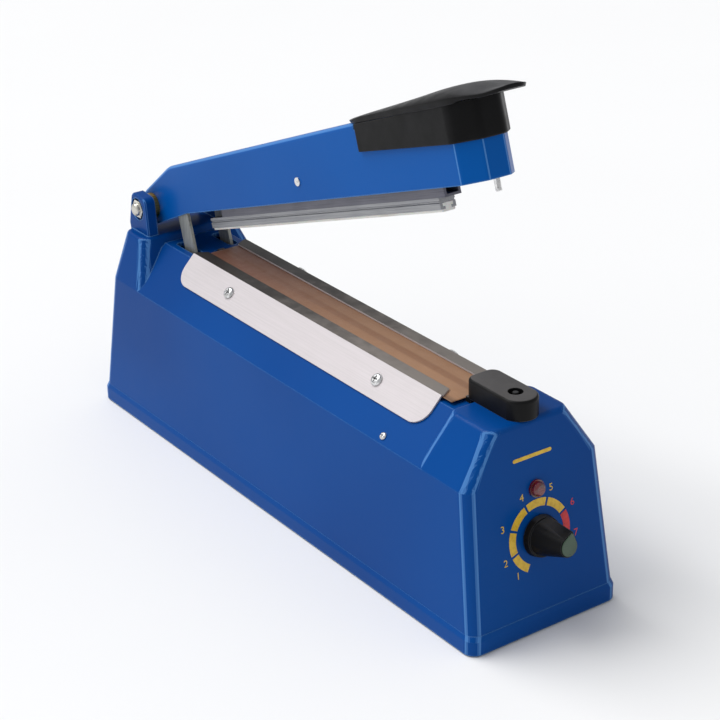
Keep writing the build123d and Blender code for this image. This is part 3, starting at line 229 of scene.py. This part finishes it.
    def done(self):
        self.link(self.colour, self.shader.inputs["Base Color"])
        if self.normal is not None:
            self.link(self.normal, self.shader.inputs["Normal"])
        return self.material


def paint(name, colour, second):
    """Stove enamel, paler along its edges and rounded corners: painted highlights."""
    s = Surface(name, colour)
    s.round_edges(0.0014)
    s.blend(second, s.span(s.noise(7.0, detail=1.0), 0.35, 0.70, smooth=True))
    # painted highlight: pale blue along the edges
    s.blend(rgb(104, 160, 220), s.math("MULTIPLY", s.edge_mask(0.0012, 0.80, 0.985), 0.70))
    # painted highlight: pale blue lines where rounded upright corners meet the walls
    s.blend(rgb(96, 152, 214), s.math("MULTIPLY", s.corner_highlight_lines(), 0.55))
    s.bump(s.noise(330.0, detail=1.0), 0.000012)
    s.vary_roughness(s.noise(40.0), 0.30, 0.38)
    return s.set(Specular_IOR_Level=0.07, Coat_Weight=0.04, Coat_Roughness=0.10).done()


def brushed(name, colour, second, along, roughness, metallic=1.0, tilt=0.0):
    """Metal with fine brushing along one axis, which may be tilted about X."""
    stretch = tuple(0.012 if letter == along else 1.0 for letter in "XYZ")
    s = Surface(name, colour, metallic=metallic).round_edges(0.0003)
    grain = s.noise(2600.0, stretch, detail=4.0, rough=0.7, tilt=tilt)
    s.blend(second, s.span(grain, 0.42, 0.62))
    s.blend(second, s.math("MULTIPLY", s.span(s.noise(34.0, detail=2.0), 0.45, 0.80, smooth=True), 0.4))
    s.bump(grain, 0.000012)
    s.vary_roughness(s.noise(90.0), roughness - 0.06, roughness + 0.08)
    return s.done()


def guard_steel():
    """Stainless guard: pale slope, and a top flange darkened as painted reflection, with painted shadow
    towards the hinge.
    """
    s = Surface("stainless", rgb(202, 195, 197), metallic=0.25).round_edges(0.0003)
    grain = s.noise(2200.0, (1.0, 0.012, 1.0), detail=4.0, rough=0.7)
    s.blend(rgb(194, 188, 189), s.span(grain, 0.40, 0.64))
    s.blend(rgb(186, 180, 180), s.span(s.noise(18.0, detail=2.0), 0.50, 0.75, 0.0, 0.5, smooth=True))
    up = s.facing_up()
    # painted reflection: faces that look up are darkened
    s.blend(rgb(128, 120, 112), s.math("MULTIPLY", up, 0.92))
    # painted shadow: faces that look up go near black towards the hinge
    length = s.math("ADD", s.axis("Y"), s.span(s.noise(120.0, detail=4.0), 0.3, 0.7, -0.03, 0.03))
    s.blend(rgb(34, 30, 28), s.math("MULTIPLY", up, s.span(length, -0.075, 0.06, 0.05, 0.92, smooth=True)))
    s.bump(grain, 0.000008)
    s.vary_roughness(s.noise(90.0), 0.40, 0.52)
    return s.done()


def plated(name, colour, dark, roughness=0.22):
    """Bright hardware with grime in random patches."""
    s = Surface(name, colour, metallic=1.0).round_edges(0.00018)
    s.blend(dark, s.span(s.noise(700.0, detail=4.0), 0.50, 0.78))
    s.bump(s.noise(1500.0), 0.00001)
    s.vary_roughness(s.noise(500.0), roughness - 0.06, roughness + 0.14)
    return s.done()


def moulded(name, colour, second, low, high, depth=0.00003, edge=None, top=None):
    """Moulded plastic or rubber with a fine eroded texture; top gives faces that look up a painted sheen, and
    edge gives edges a painted highlight.
    """
    s = Surface(name, colour).round_edges(0.0005)
    s.blend(second, s.span(s.noise(55.0, detail=5.0), 0.42, 0.70))
    if top is not None:
        # painted sheen: faces that look up are paler
        s.blend(top, s.math("MULTIPLY", s.facing_up(), s.span(s.noise(90.0, detail=3.0), 0.2, 0.8, 0.7, 1.0)))
        s.set(Specular_IOR_Level=0.12)
    if edge is not None:
        # painted highlight: edges are paler
        s.blend(edge, s.math("MULTIPLY", s.edge_mask(0.0006, 0.82, 0.985), 0.55))
    s.bump(s.noise(1100.0, detail=3.0, rough=0.7), depth)
    s.vary_roughness(s.noise(140.0), low, high)
    return s.done()


def ptfe():
    """Glass cloth coated with PTFE: plain weave, darker in patches towards the hinge, and scorched along the
    element.
    """
    s = Surface("ptfe_fabric", rgb(180, 138, 104))
    s.blend(rgb(164, 122, 90), s.span(s.noise(60.0, (1, 0.25, 1), detail=5.0), 0.40, 0.68))
    weave = s.math("MULTIPLY", s.wave(520.0, "X", 0.4), s.wave(520.0, "Y", 0.4))
    s.blend(rgb(128, 84, 52), s.span(weave, 0.35, 0.0, 0.0, 0.45))
    length = s.axis("Y")
    patchy = s.math("ADD", length, s.math("MULTIPLY", s.noise(28.0, detail=4.0), 0.05))
    # darker in patches towards the hinge
    s.blend(rgb(112, 66, 50), s.span(patchy, -0.03, 0.12, 0.0, 0.85, smooth=True))
    across = s.math("ABSOLUTE", s.axis("X"), 0.0)
    s.blend(rgb(120, 74, 44), s.span(across, 0.0028, 0.0012, 0.0, 0.45, smooth=True))
    s.blend(rgb(40, 28, 22), s.span(across, 0.0104, 0.0136, 0.0, 0.5, smooth=True))
    s.bump(weave, 0.00005)
    s.bump(s.noise(120.0, (1, 0.4, 1)), 0.00006)
    s.vary_roughness(s.noise(200.0), 0.30, 0.46)
    return s.set(Sheen_Weight=0.12, Sheen_Roughness=0.4, Specular_IOR_Level=0.3).done()


def silicone():
    s = Surface("silicone", rgb(236, 234, 228)).round_edges(0.0003)
    s.blend(rgb(214, 210, 200), s.span(s.noise(70.0, (1, 0.3, 1), detail=5.0), 0.45, 0.72))
    s.blend(rgb(176, 164, 146), s.math("MULTIPLY", s.span(s.noise(260.0, (1, 0.1, 1)), 0.55, 0.8), 0.35))
    s.bump(s.noise(900.0), 0.00003)
    s.vary_roughness(s.noise(150.0), 0.48, 0.66)
    return s.set(Subsurface_Weight=0.15, Subsurface_Scale=0.002).done()


def laminate():
    s = Surface("insulation", rgb(168, 118, 70)).round_edges(0.0002)
    s.blend(rgb(128, 84, 46), s.span(s.wave(380.0, "Y", 3.0), 0.2, 0.8, 0.0, 0.6))
    s.bump(s.noise(1300.0), 0.00003)
    s.vary_roughness(s.noise(200.0), 0.45, 0.65)
    return s.done()


def winding():
    s = Surface("copper_wire", rgb(196, 122, 58))
    s.blend(rgb(222, 190, 60), s.span(s.wave(46.0, "Z", 0.6), 0.25, 0.35))
    s.bump(s.wave(900.0, "Z"), 0.0001)
    s.vary_roughness(s.noise(300.0), 0.30, 0.48)
    return s.done()


def laminations():
    s = Surface("core_steel", rgb(74, 70, 68), metallic=0.7)
    s.blend(rgb(40, 38, 38), s.span(s.wave(640.0, "Y"), 0.3, 0.7))
    s.blend(rgb(120, 78, 46), s.math("MULTIPLY", s.span(s.noise(80.0, detail=5.0), 0.55, 0.75), 0.6))
    s.bump(s.wave(640.0, "Y"), 0.00006)
    s.vary_roughness(s.noise(160.0), 0.42, 0.62)
    return s.done()


def board():
    s = Surface("circuit_board", rgb(24, 104, 58)).round_edges(0.0002)
    s.blend(rgb(60, 150, 84), s.span(s.wave(95.0, "X", 9.0), 0.72, 0.78))
    s.blend(rgb(196, 196, 190), s.span(s.noise(420.0, detail=0.0), 0.70, 0.73))
    s.bump(s.wave(95.0, "X", 9.0), 0.00003)
    s.vary_roughness(s.noise(200.0), 0.24, 0.36)
    return s.done()


def lens():
    s = Surface("red_lens", rgb(112, 6, 14))
    s.blend(rgb(58, 0, 6), s.span(s.noise(240.0, detail=2.0), 0.40, 0.66))
    s.bump(s.wave(1500.0, "X"), 0.00004)
    s.vary_roughness(s.noise(300.0), 0.08, 0.18)
    return s.set(Coat_Weight=0.8, Coat_Roughness=0.05).done()


def ink(name, colour, second):
    s = Surface(name, colour)
    s.blend(second, s.span(s.noise(500.0, detail=4.0), 0.45, 0.72))
    s.bump(s.noise(2200.0), 0.00002)
    s.vary_roughness(s.noise(400.0), 0.34, 0.5)
    return s.done()


looks = {
    "blue_paint": paint("blue_paint", rgb(0, 70, 144), rgb(0, 62, 132)),
    "stainless": guard_steel(),
    "plate_steel": brushed("plate_steel", rgb(150, 150, 154), rgb(112, 112, 118), "Y", 0.38),
    "screw_steel": plated("screw_steel", rgb(222, 222, 222), rgb(120, 118, 114)),
    "spring_steel": plated("spring_steel", rgb(140, 140, 142), rgb(70, 68, 66), 0.32),
    "core_steel": laminations(),
    "aluminium": brushed("aluminium", rgb(164, 165, 167), rgb(138, 139, 144), "Y", 0.36, 0.5,
                         tilt=OPEN + ROCK),
    "brass": brushed("brass", rgb(206, 170, 96), rgb(150, 112, 52), "X", 0.34),
    "element_alloy": brushed("element_alloy", rgb(170, 160, 150), rgb(110, 92, 84), "Y", 0.4),
    "copper_wire": winding(),
    "ptfe_fabric": ptfe(),
    "insulation": laminate(),
    "silicone": silicone(),
    "black_rubber": moulded("black_rubber", rgb(28, 28, 28), rgb(44, 43, 42), 0.62, 0.8, depth=0.00006),
    # edge and top colours here are painted highlight and painted sheen
    "black_plastic": moulded("black_plastic", rgb(13, 13, 14), rgb(20, 20, 22), 0.34, 0.48,
                             edge=rgb(78, 78, 81), top=rgb(58, 58, 60)),
    "cap_plastic": moulded("cap_plastic", rgb(62, 84, 66), rgb(40, 58, 44), 0.26, 0.4),
    "red_lens": lens(),
    "white_plastic": moulded("white_plastic", rgb(226, 224, 214), rgb(196, 192, 180), 0.4, 0.55),
    "blue_plastic": moulded("blue_plastic", rgb(40, 92, 170), rgb(24, 66, 140), 0.24, 0.4),
    "circuit_board": board(),
    "component_black": moulded("component_black", rgb(34, 36, 62), rgb(20, 20, 36), 0.25, 0.4),
    "component_tan": moulded("component_tan", rgb(190, 156, 112), rgb(150, 112, 76), 0.4, 0.55),
    "pot_metal": brushed("pot_metal", rgb(196, 188, 170), rgb(150, 140, 120), "X", 0.36),
    "yellow_ink": ink("yellow_ink", rgb(222, 182, 52), rgb(196, 154, 34)),
    "red_ink": ink("red_ink", rgb(206, 34, 40), rgb(168, 20, 30)),
}
own_looks = {
    # painted light: the arm's paint is a paler copy of the base's blue paint
    "arm_shell": paint("arm_paint", rgb(0, 84, 164), rgb(0, 76, 152)),
    # edge and top colours here are painted highlight and painted sheen
    "switch_cover": moulded("cover_plastic", rgb(16, 16, 17), rgb(24, 24, 26), 0.34, 0.48,
                            edge=rgb(96, 94, 94), top=rgb(88, 86, 86)),
    # painted shade: the channel's brushed metal is made darker
    "pressure_channel": brushed("channel_steel", rgb(112, 112, 122), rgb(96, 96, 106), "Y", 0.42, 0.4,
                                tilt=OPEN + ROCK),
    "lift_link": brushed("link_steel", rgb(176, 178, 172), rgb(140, 142, 138), "Z", 0.38, 0.6),
    "hinge_nuts": plated("nut_steel", rgb(206, 204, 196), rgb(72, 68, 60), 0.30),
}
slot_of = {entry["node"]: entry["material_slot"] for entry in frame["record"]["subparts"]}
for name, node in nodes.items():
    node.data.materials.clear()
    node.data.materials.append(own_looks.get(name, looks[slot_of[name]]))


# ---------------------------------------------------------------- meshes
def mesh_piece(name, points, faces, look, body, smooth=True, stands_for=()):
    """A new piece from points and faces, which rides on a body and may stand for CAD nodes."""
    mesh = bpy.data.meshes.new(name)
    mesh.from_pydata([tuple(p) for p in points], [], faces)
    mesh.validate()
    work = bmesh.new()
    work.from_mesh(mesh)
    bmesh.ops.recalc_face_normals(work, faces=work.faces)
    work.to_mesh(mesh)
    work.free()
    mesh.materials.append(looks[look])
    for polygon in mesh.polygons:
        polygon.use_smooth = smooth
    piece = bpy.data.objects.new(name, mesh)
    bpy.context.scene.collection.objects.link(piece)
    if stands_for:
        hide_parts(*stands_for)
    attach(piece, body)
    return piece


def tube_faces(rings, size, close_ends=True):
    """Faces of a skin over rings of size points each."""
    faces = [(i * size + j, i * size + (j + 1) % size, (i + 1) * size + (j + 1) % size, (i + 1) * size + j)
             for i in range(rings - 1) for j in range(size)]
    if close_ends:
        faces.append(tuple(range(size)))
        faces.append(tuple((rings - 1) * size + j for j in range(size)))
    return faces


def between(table, t):
    """Smooth value at t through a table of (t, value) rows."""
    table = sorted(table)
    if t <= table[0][0]:
        return table[0][1]
    for i in range(len(table) - 1):
        (t1, v1), (t2, v2) = table[i], table[i + 1]
        if t <= t2:
            t0, v0 = table[max(i - 1, 0)]
            t3, v3 = table[min(i + 2, len(table) - 1)]
            s1 = (v2 - v0) / (t2 - t0) if t2 != t0 else 0.0
            s2 = (v3 - v1) / (t3 - t1) if t3 != t1 else 0.0
            u, h = (t - t1) / (t2 - t1), t2 - t1
            return ((2 * u ** 3 - 3 * u ** 2 + 1) * v1 + (u ** 3 - 2 * u ** 2 + u) * h * s1
                    + (-2 * u ** 3 + 3 * u ** 2) * v2 + (u ** 3 - u ** 2) * h * s2)
    return table[-1][1]


# ---------------------------------------------------------------- grip
def arm_top(y):
    """Height of the shut arm's top, which rises by 4 degrees from the hinge to the nose."""
    return 124.8 + (106.0 - y) * tan(radians(4.0))


# (y, value) rows with the arm shut: heights of the crown and of the rim, and half the width
GRIP_CROWN = [(-46.0, 137.5), (-57.0, 138.6), (-74.0, 140.4), (-95.0, 142.7), (-115.0, 145.0),
              (-130.0, 145.5), (-142.0, 143.6), (-147.0, 142.9), (-153.0, 143.5)]
GRIP_EDGE = [(-46.0, 136.9), (-57.0, 137.4), (-66.0, 138.4), (-96.0, 140.0), (-118.0, 140.9), (-135.0, 141.9),
             (-142.0, 142.0), (-147.0, 141.9), (-153.0, 142.9)]
GRIP_WIDTH = [(-46.0, 2.0), (-47.0, 5.6), (-50.0, 9.2), (-55.0, 12.8), (-61.0, 15.0), (-80.0, 15.7),
              (-100.0, 16.2), (-127.0, 16.8), (-136.0, 15.8), (-142.0, 13.9), (-147.0, 11.2), (-150.5, 8.4),
              (-152.3, 6.2), (-153.0, 4.0)]


def grip_palm():
    """Crowned palm rest, lofted along the arm and closer set where its ends curve in."""
    stations = [-46.0, -46.3, -46.8, -47.6, -48.8, -50.5, -52.5]
    stations += [-55.0 - 3.0 * i for i in range(25)]
    stations += [-130.0, -133.0, -136.0, -139.0, -141.5, -144.0]
    stations += [-146.3, -148.3, -150.0, -151.4, -152.4, -153.0]
    across = [sin(radians(a)) for a in range(-90, 91, 10)]
    points = []
    for y in stations:
        half = between(GRIP_WIDTH, y)
        crown, edge = between(GRIP_CROWN, y), between(GRIP_EDGE, y)
        thick = 2.2 if -134 < y < -58 else 1.3
        under = max(edge - thick, arm_top(y) + 0.05) if y > -58 else edge - thick
        for u in across:
            points.append(on_arm(u * half, y, edge + (crown - edge) * (1 - u * u) ** 0.6))
        for u in reversed(across):
            bow = 0.35 if abs(u) > 0.995 else 0.0
            points.append(on_arm(u * (half - 0.5 - bow), y, under))
    return mesh_piece("grip_palm", points, tube_faces(len(stations), 2 * len(across)), "black_plastic", "arm",
                      stands_for=["handle_grip"])


def nose_outline(grow, rear):
    """Plan of the bevelled nose moved out by grow, from the left rear round to the right rear."""
    half, front = 13.5 + grow, -134.6 - grow
    bevel, slim = -126.6 - grow * 0.41, 5.5 + grow * 0.41
    corner = []
    for (x0, y0), (x1, y1), (x2, y2) in (((-half, rear), (-half, bevel), (-slim, front)),
                                         ((-half, bevel), (-slim, front), (slim, front)),
                                         ((-slim, front), (slim, front), (half, bevel)),
                                         ((slim, front), (half, bevel), (half, rear))):
        before = Vector((x0 - x1, y0 - y1)).normalized() * 2.4
        after = Vector((x2 - x1, y2 - y1)).normalized() * 2.4
        for k in range(7):
            t = k / 6
            corner.append(Vector((x1, y1)) + before * (1 - t) ** 2 + after * t * t)
    return [Vector((-half, rear))] + corner + [Vector((half, rear))]


def grip_skirt():
    """Sleeve of the grip round the sides and the bevelled nose of the arm."""
    rear = -61.0
    outer, inner = nose_outline(1.5, rear), nose_outline(0.06, rear)
    points, size = [], len(outer) + len(inner)
    lower = [(p, 124.0) for p in outer] + [(p, 124.0) for p in reversed(inner)]
    for level in (0.0, 0.4, 1.0):
        for p, z in lower:
            top = between(GRIP_EDGE, max(p.y, -133.0)) - 2.0
            height = z + (top - z) * (0.03 if level == 0.4 else level)
            pull = 0.25 if level == 0.0 and p in outer else 0.0
            points.append(on_arm(p.x * (1 - pull / 15), p.y + pull, height))
    faces = tube_faces(3, size, close_ends=False)
    # close the bottom and the top between the outer and the inner outline
    count = len(outer)
    for base in (0, 2 * size):
        for j in range(count - 1):
            faces.append((base + j, base + j + 1, base + size - 2 - j, base + size - 1 - j))
    mesh_piece("grip_skirt", points, faces, "black_plastic", "arm", smooth=False)


palm = grip_palm()
rounding = palm.modifiers.new("smooth", "SUBSURF")
rounding.render_levels = 2
rounding.levels = 1
grip_skirt()


# ---------------------------------------------------------------- cloth over the element
def cloth():
    """PTFE cloth, stretched along the platform, with soft lengthways ripples."""
    front, rear, half, thick = -108.4, 93.0, 14.6, 0.12
    rows, columns = 160, 36
    top = 91.98
    points = []
    for layer in (0, 1):
        for i in range(rows + 1):
            y = front + (rear - front) * i / rows
            for j in range(columns + 1):
                x = -half + 2 * half * j / columns
                ripple = 0.035 * sin(x * 1.9 + 0.6 * sin(y * 0.05)) * (0.5 + 0.5 * sin(y * 0.043 + 1.0))
                ripple += 0.03 * sin(y * 0.31 + x * 0.35) * sin(y * 0.07)
                ridge = 0.06 * max(0.0, 1 - abs(abs(x) - 1.6) / 0.5)
                press = -0.04 * max(0.0, 1 - abs(x) / 4.6)
                relief = ripple * 0.6 + ridge + press
                points.append(fixed(x, y, top + 0.1 + relief + layer * thick))
    stride, size = columns + 1, (rows + 1) * (columns + 1)
    faces = []
    for layer in (0, 1):
        base = layer * size
        for i in range(rows):
            for j in range(columns):
                a = base + i * stride + j
                faces.append((a, a + 1, a + stride + 1, a + stride))
    rim = list(range(columns + 1)) + [i * stride + columns for i in range(1, rows + 1)]
    rim += [rows * stride + j for j in range(columns - 1, -1, -1)]
    rim += [i * stride for i in range(rows - 1, 0, -1)]
    for a, b in zip(rim, rim[1:] + rim[:1]):
        faces.append((a, b, b + size, a + size))
    piece = mesh_piece("ptfe_sheet", points, faces, "ptfe_fabric", "base",
                       stands_for=["ptfe_cloth"])


cloth()


# ---------------------------------------------------------------- silicone strip under the pressure bar
def silicone_bead():
    """Soft strip with rounded lips, a T foot in the bar's groove and the groove worn by sealing."""
    half, low, seat, head, mouth, foot = 3.2, 92.6, 93.75, 96.3, 1.55, 2.65
    profile = [(-half, seat), (-half, low + 0.45), (-half + 0.12, low + 0.18), (-half + 0.4, low + 0.02)]
    profile += [(x, low) for x in (-2.4, -2.0, -1.7, -1.3, -0.7, 0.0, 0.7, 1.3, 1.7, 2.0, 2.4)]
    profile += [(half - 0.4, low + 0.02), (half - 0.12, low + 0.18), (half, low + 0.45), (half, seat)]
    profile += [(mouth, seat), (mouth, 94.9), (foot, 94.9), (foot, head), (-foot, head), (-foot, 94.9),
                (-mouth, 94.9), (-mouth, seat)]
    front, length, rows = -95.5, 194.0, 120
    points = []
    for i in range(rows + 1):
        y = front + length * i / rows
        end = min(1.0, min(i, rows - i) / 2)
        for x, z in profile:
            worn = 0.16 * max(0.0, 1 - abs(x) / 1.7) if z <= low + 0.03 else 0.0
            lip = abs(x) > 2.8 and z < 94
            wander = 0.05 * sin(y * 0.16 + x) + 0.04 * sin(y * 0.37) if lip else 0.0
            outward = 1 if x > 0 else -1
            points.append(on_bar(x + wander * outward * 0.6, y, z + worn * end + (1 - end) * 0.04))
    mesh_piece("silicone_bead", points, tube_faces(rows + 1, len(profile)), "silicone", "bar",
               smooth=False, stands_for=["silicone_strip"])


silicone_bead()

# ---------------------------------------------------------------- print on the front panel
DIAL_UP = 43.0                  # middle of the dial, up the front panel
# angle in degrees and radius of each figure about the dial, from 1 to 7
FIGURES = ((228.0, 19.3), (200.0, 19.9), (156.3, 20.6), (112.4, 20.4), (67.6, 20.5), (26.1, 20.5),
           (-14.8, 19.8))
FIRST_RED = 5                   # the figures from this place on are red


def panel_matrix(x, up, out):
    """Placing of a flat print on the front panel, its Z out of the face."""
    centre, right = on_panel(x, up, out), Vector((1, 0, 0))
    normal = Vector((0, -cos(PANEL_TILT), sin(PANEL_TILT)))
    rise = normal.cross(right)
    return Matrix((
        (right.x, rise.x, normal.x, centre.x), (right.y, rise.y, normal.y, centre.y),
        (right.z, rise.z, normal.z, centre.z), (0, 0, 0, 1)))


def numeral(text, angle, radius, look):
    """A printed figure beside its mark."""
    curve = bpy.data.curves.new(f"figure_{text}", "FONT")
    curve.body = text
    curve.size = 4.5 * MM
    curve.extrude = 0.03 * MM
    curve.align_x, curve.align_y = "CENTER", "CENTER"
    curve.materials.append(looks[look])
    piece = bpy.data.objects.new(f"dial_figure_{text}", curve)
    bpy.context.scene.collection.objects.link(piece)
    a = radians(angle)
    piece.matrix_world = panel_matrix(radius * cos(a), DIAL_UP + radius * sin(a), 0.06)
    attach(piece, "base")


for i, (angle, radius) in enumerate(FIGURES):
    numeral(str(i + 1), angle, radius, "yellow_ink" if i < FIRST_RED else "red_ink")


def printed_line():
    """Plain line above the lamp, with rounded ends."""
    half, thick, out = 9.4, 0.8, (0.02, 0.09)
    outline = [(side * half + side * thick * cos(radians(a)), thick * sin(radians(a)) * side)
               for side in (1, -1) for a in range(-90, 91, 15)]
    points = [on_panel(x - 0.6, 78.6 + up, height) for height in out for x, up in outline]
    mesh_piece("panel_line", points, tube_faces(2, len(outline)), "yellow_ink", "base",
               smooth=False)


printed_line()


# ---------------------------------------------------------------- floor, light, camera
def flat_material(name, colour, roughness):
    """A plain surface with a faint unevenness of colour."""
    s = Surface(name, colour, roughness)
    s.blend(tuple(c * 0.97 for c in colour[:3]) + (1.0,), s.noise(3.0))
    return s.done()


floor_mesh = bpy.data.meshes.new("floor")
reach = 6.0                     # metres from the middle to each side of the floor
floor_mesh.from_pydata([(-reach, -reach, 0), (reach, -reach, 0), (reach, reach, 0), (-reach, reach, 0)], [],
                       [(0, 1, 2, 3)])
floor_mesh.materials.append(flat_material("floor", rgb(242, 242, 242), 0.75))
floor = bpy.data.objects.new("floor", floor_mesh)
bpy.context.scene.collection.objects.link(floor)

world = bpy.data.worlds.new("studio")
bpy.context.scene.world = world
world.use_nodes = True
world.node_tree.nodes["Background"].inputs["Color"].default_value = (0.97, 0.98, 1.0, 1.0)
world.node_tree.nodes["Background"].inputs["Strength"].default_value = 0.52


def light(name, kind, towards, energy, **values):
    """A light that shines from the direction towards, looking at the middle of the part."""
    data = bpy.data.lights.new(name, kind)
    data.energy = energy
    for key, value in values.items():
        setattr(data, key, value)
    piece = bpy.data.objects.new(name, data)
    bpy.context.scene.collection.objects.link(piece)
    piece.location = Vector(towards) + Vector((0, 0, 0.1))
    piece.rotation_euler = Vector(towards).to_track_quat("Z", "Y").to_euler()


light("key", "SUN", (-0.30, 0.45, 0.84), 2.3, angle=radians(45))
light("left", "AREA", (-1.6, 0.1, 0.5), 2.0, shape="SQUARE", size=1.2)

azimuth, elevation, roll = radians(-34.91), radians(25.22), radians(-1.21)
back = Vector((sin(azimuth) * cos(elevation), -cos(azimuth) * cos(elevation), sin(elevation)))
right = Vector((cos(azimuth), sin(azimuth), 0))
up = back.cross(right)
right, up = cos(roll) * right + sin(roll) * up, -sin(roll) * right + cos(roll) * up
camera_data = bpy.data.cameras.new("camera")
camera_data.lens, camera_data.sensor_width = 101.17, 36.0
camera_data.clip_start, camera_data.clip_end = 0.05, 50.0
camera_data.shift_x = 0.0026
camera = bpy.data.objects.new("camera", camera_data)
bpy.context.scene.collection.objects.link(camera)
at = fixed(-474.3, -700.2, 464.9)
camera.matrix_world = Matrix(((right.x, up.x, back.x, at.x), (right.y, up.y, back.y, at.y),
                              (right.z, up.z, back.z, at.z), (0, 0, 0, 1)))
bpy.context.scene.camera = camera
bpy.context.scene.view_settings.view_transform = "Standard"

bpy.context.view_layer.update()
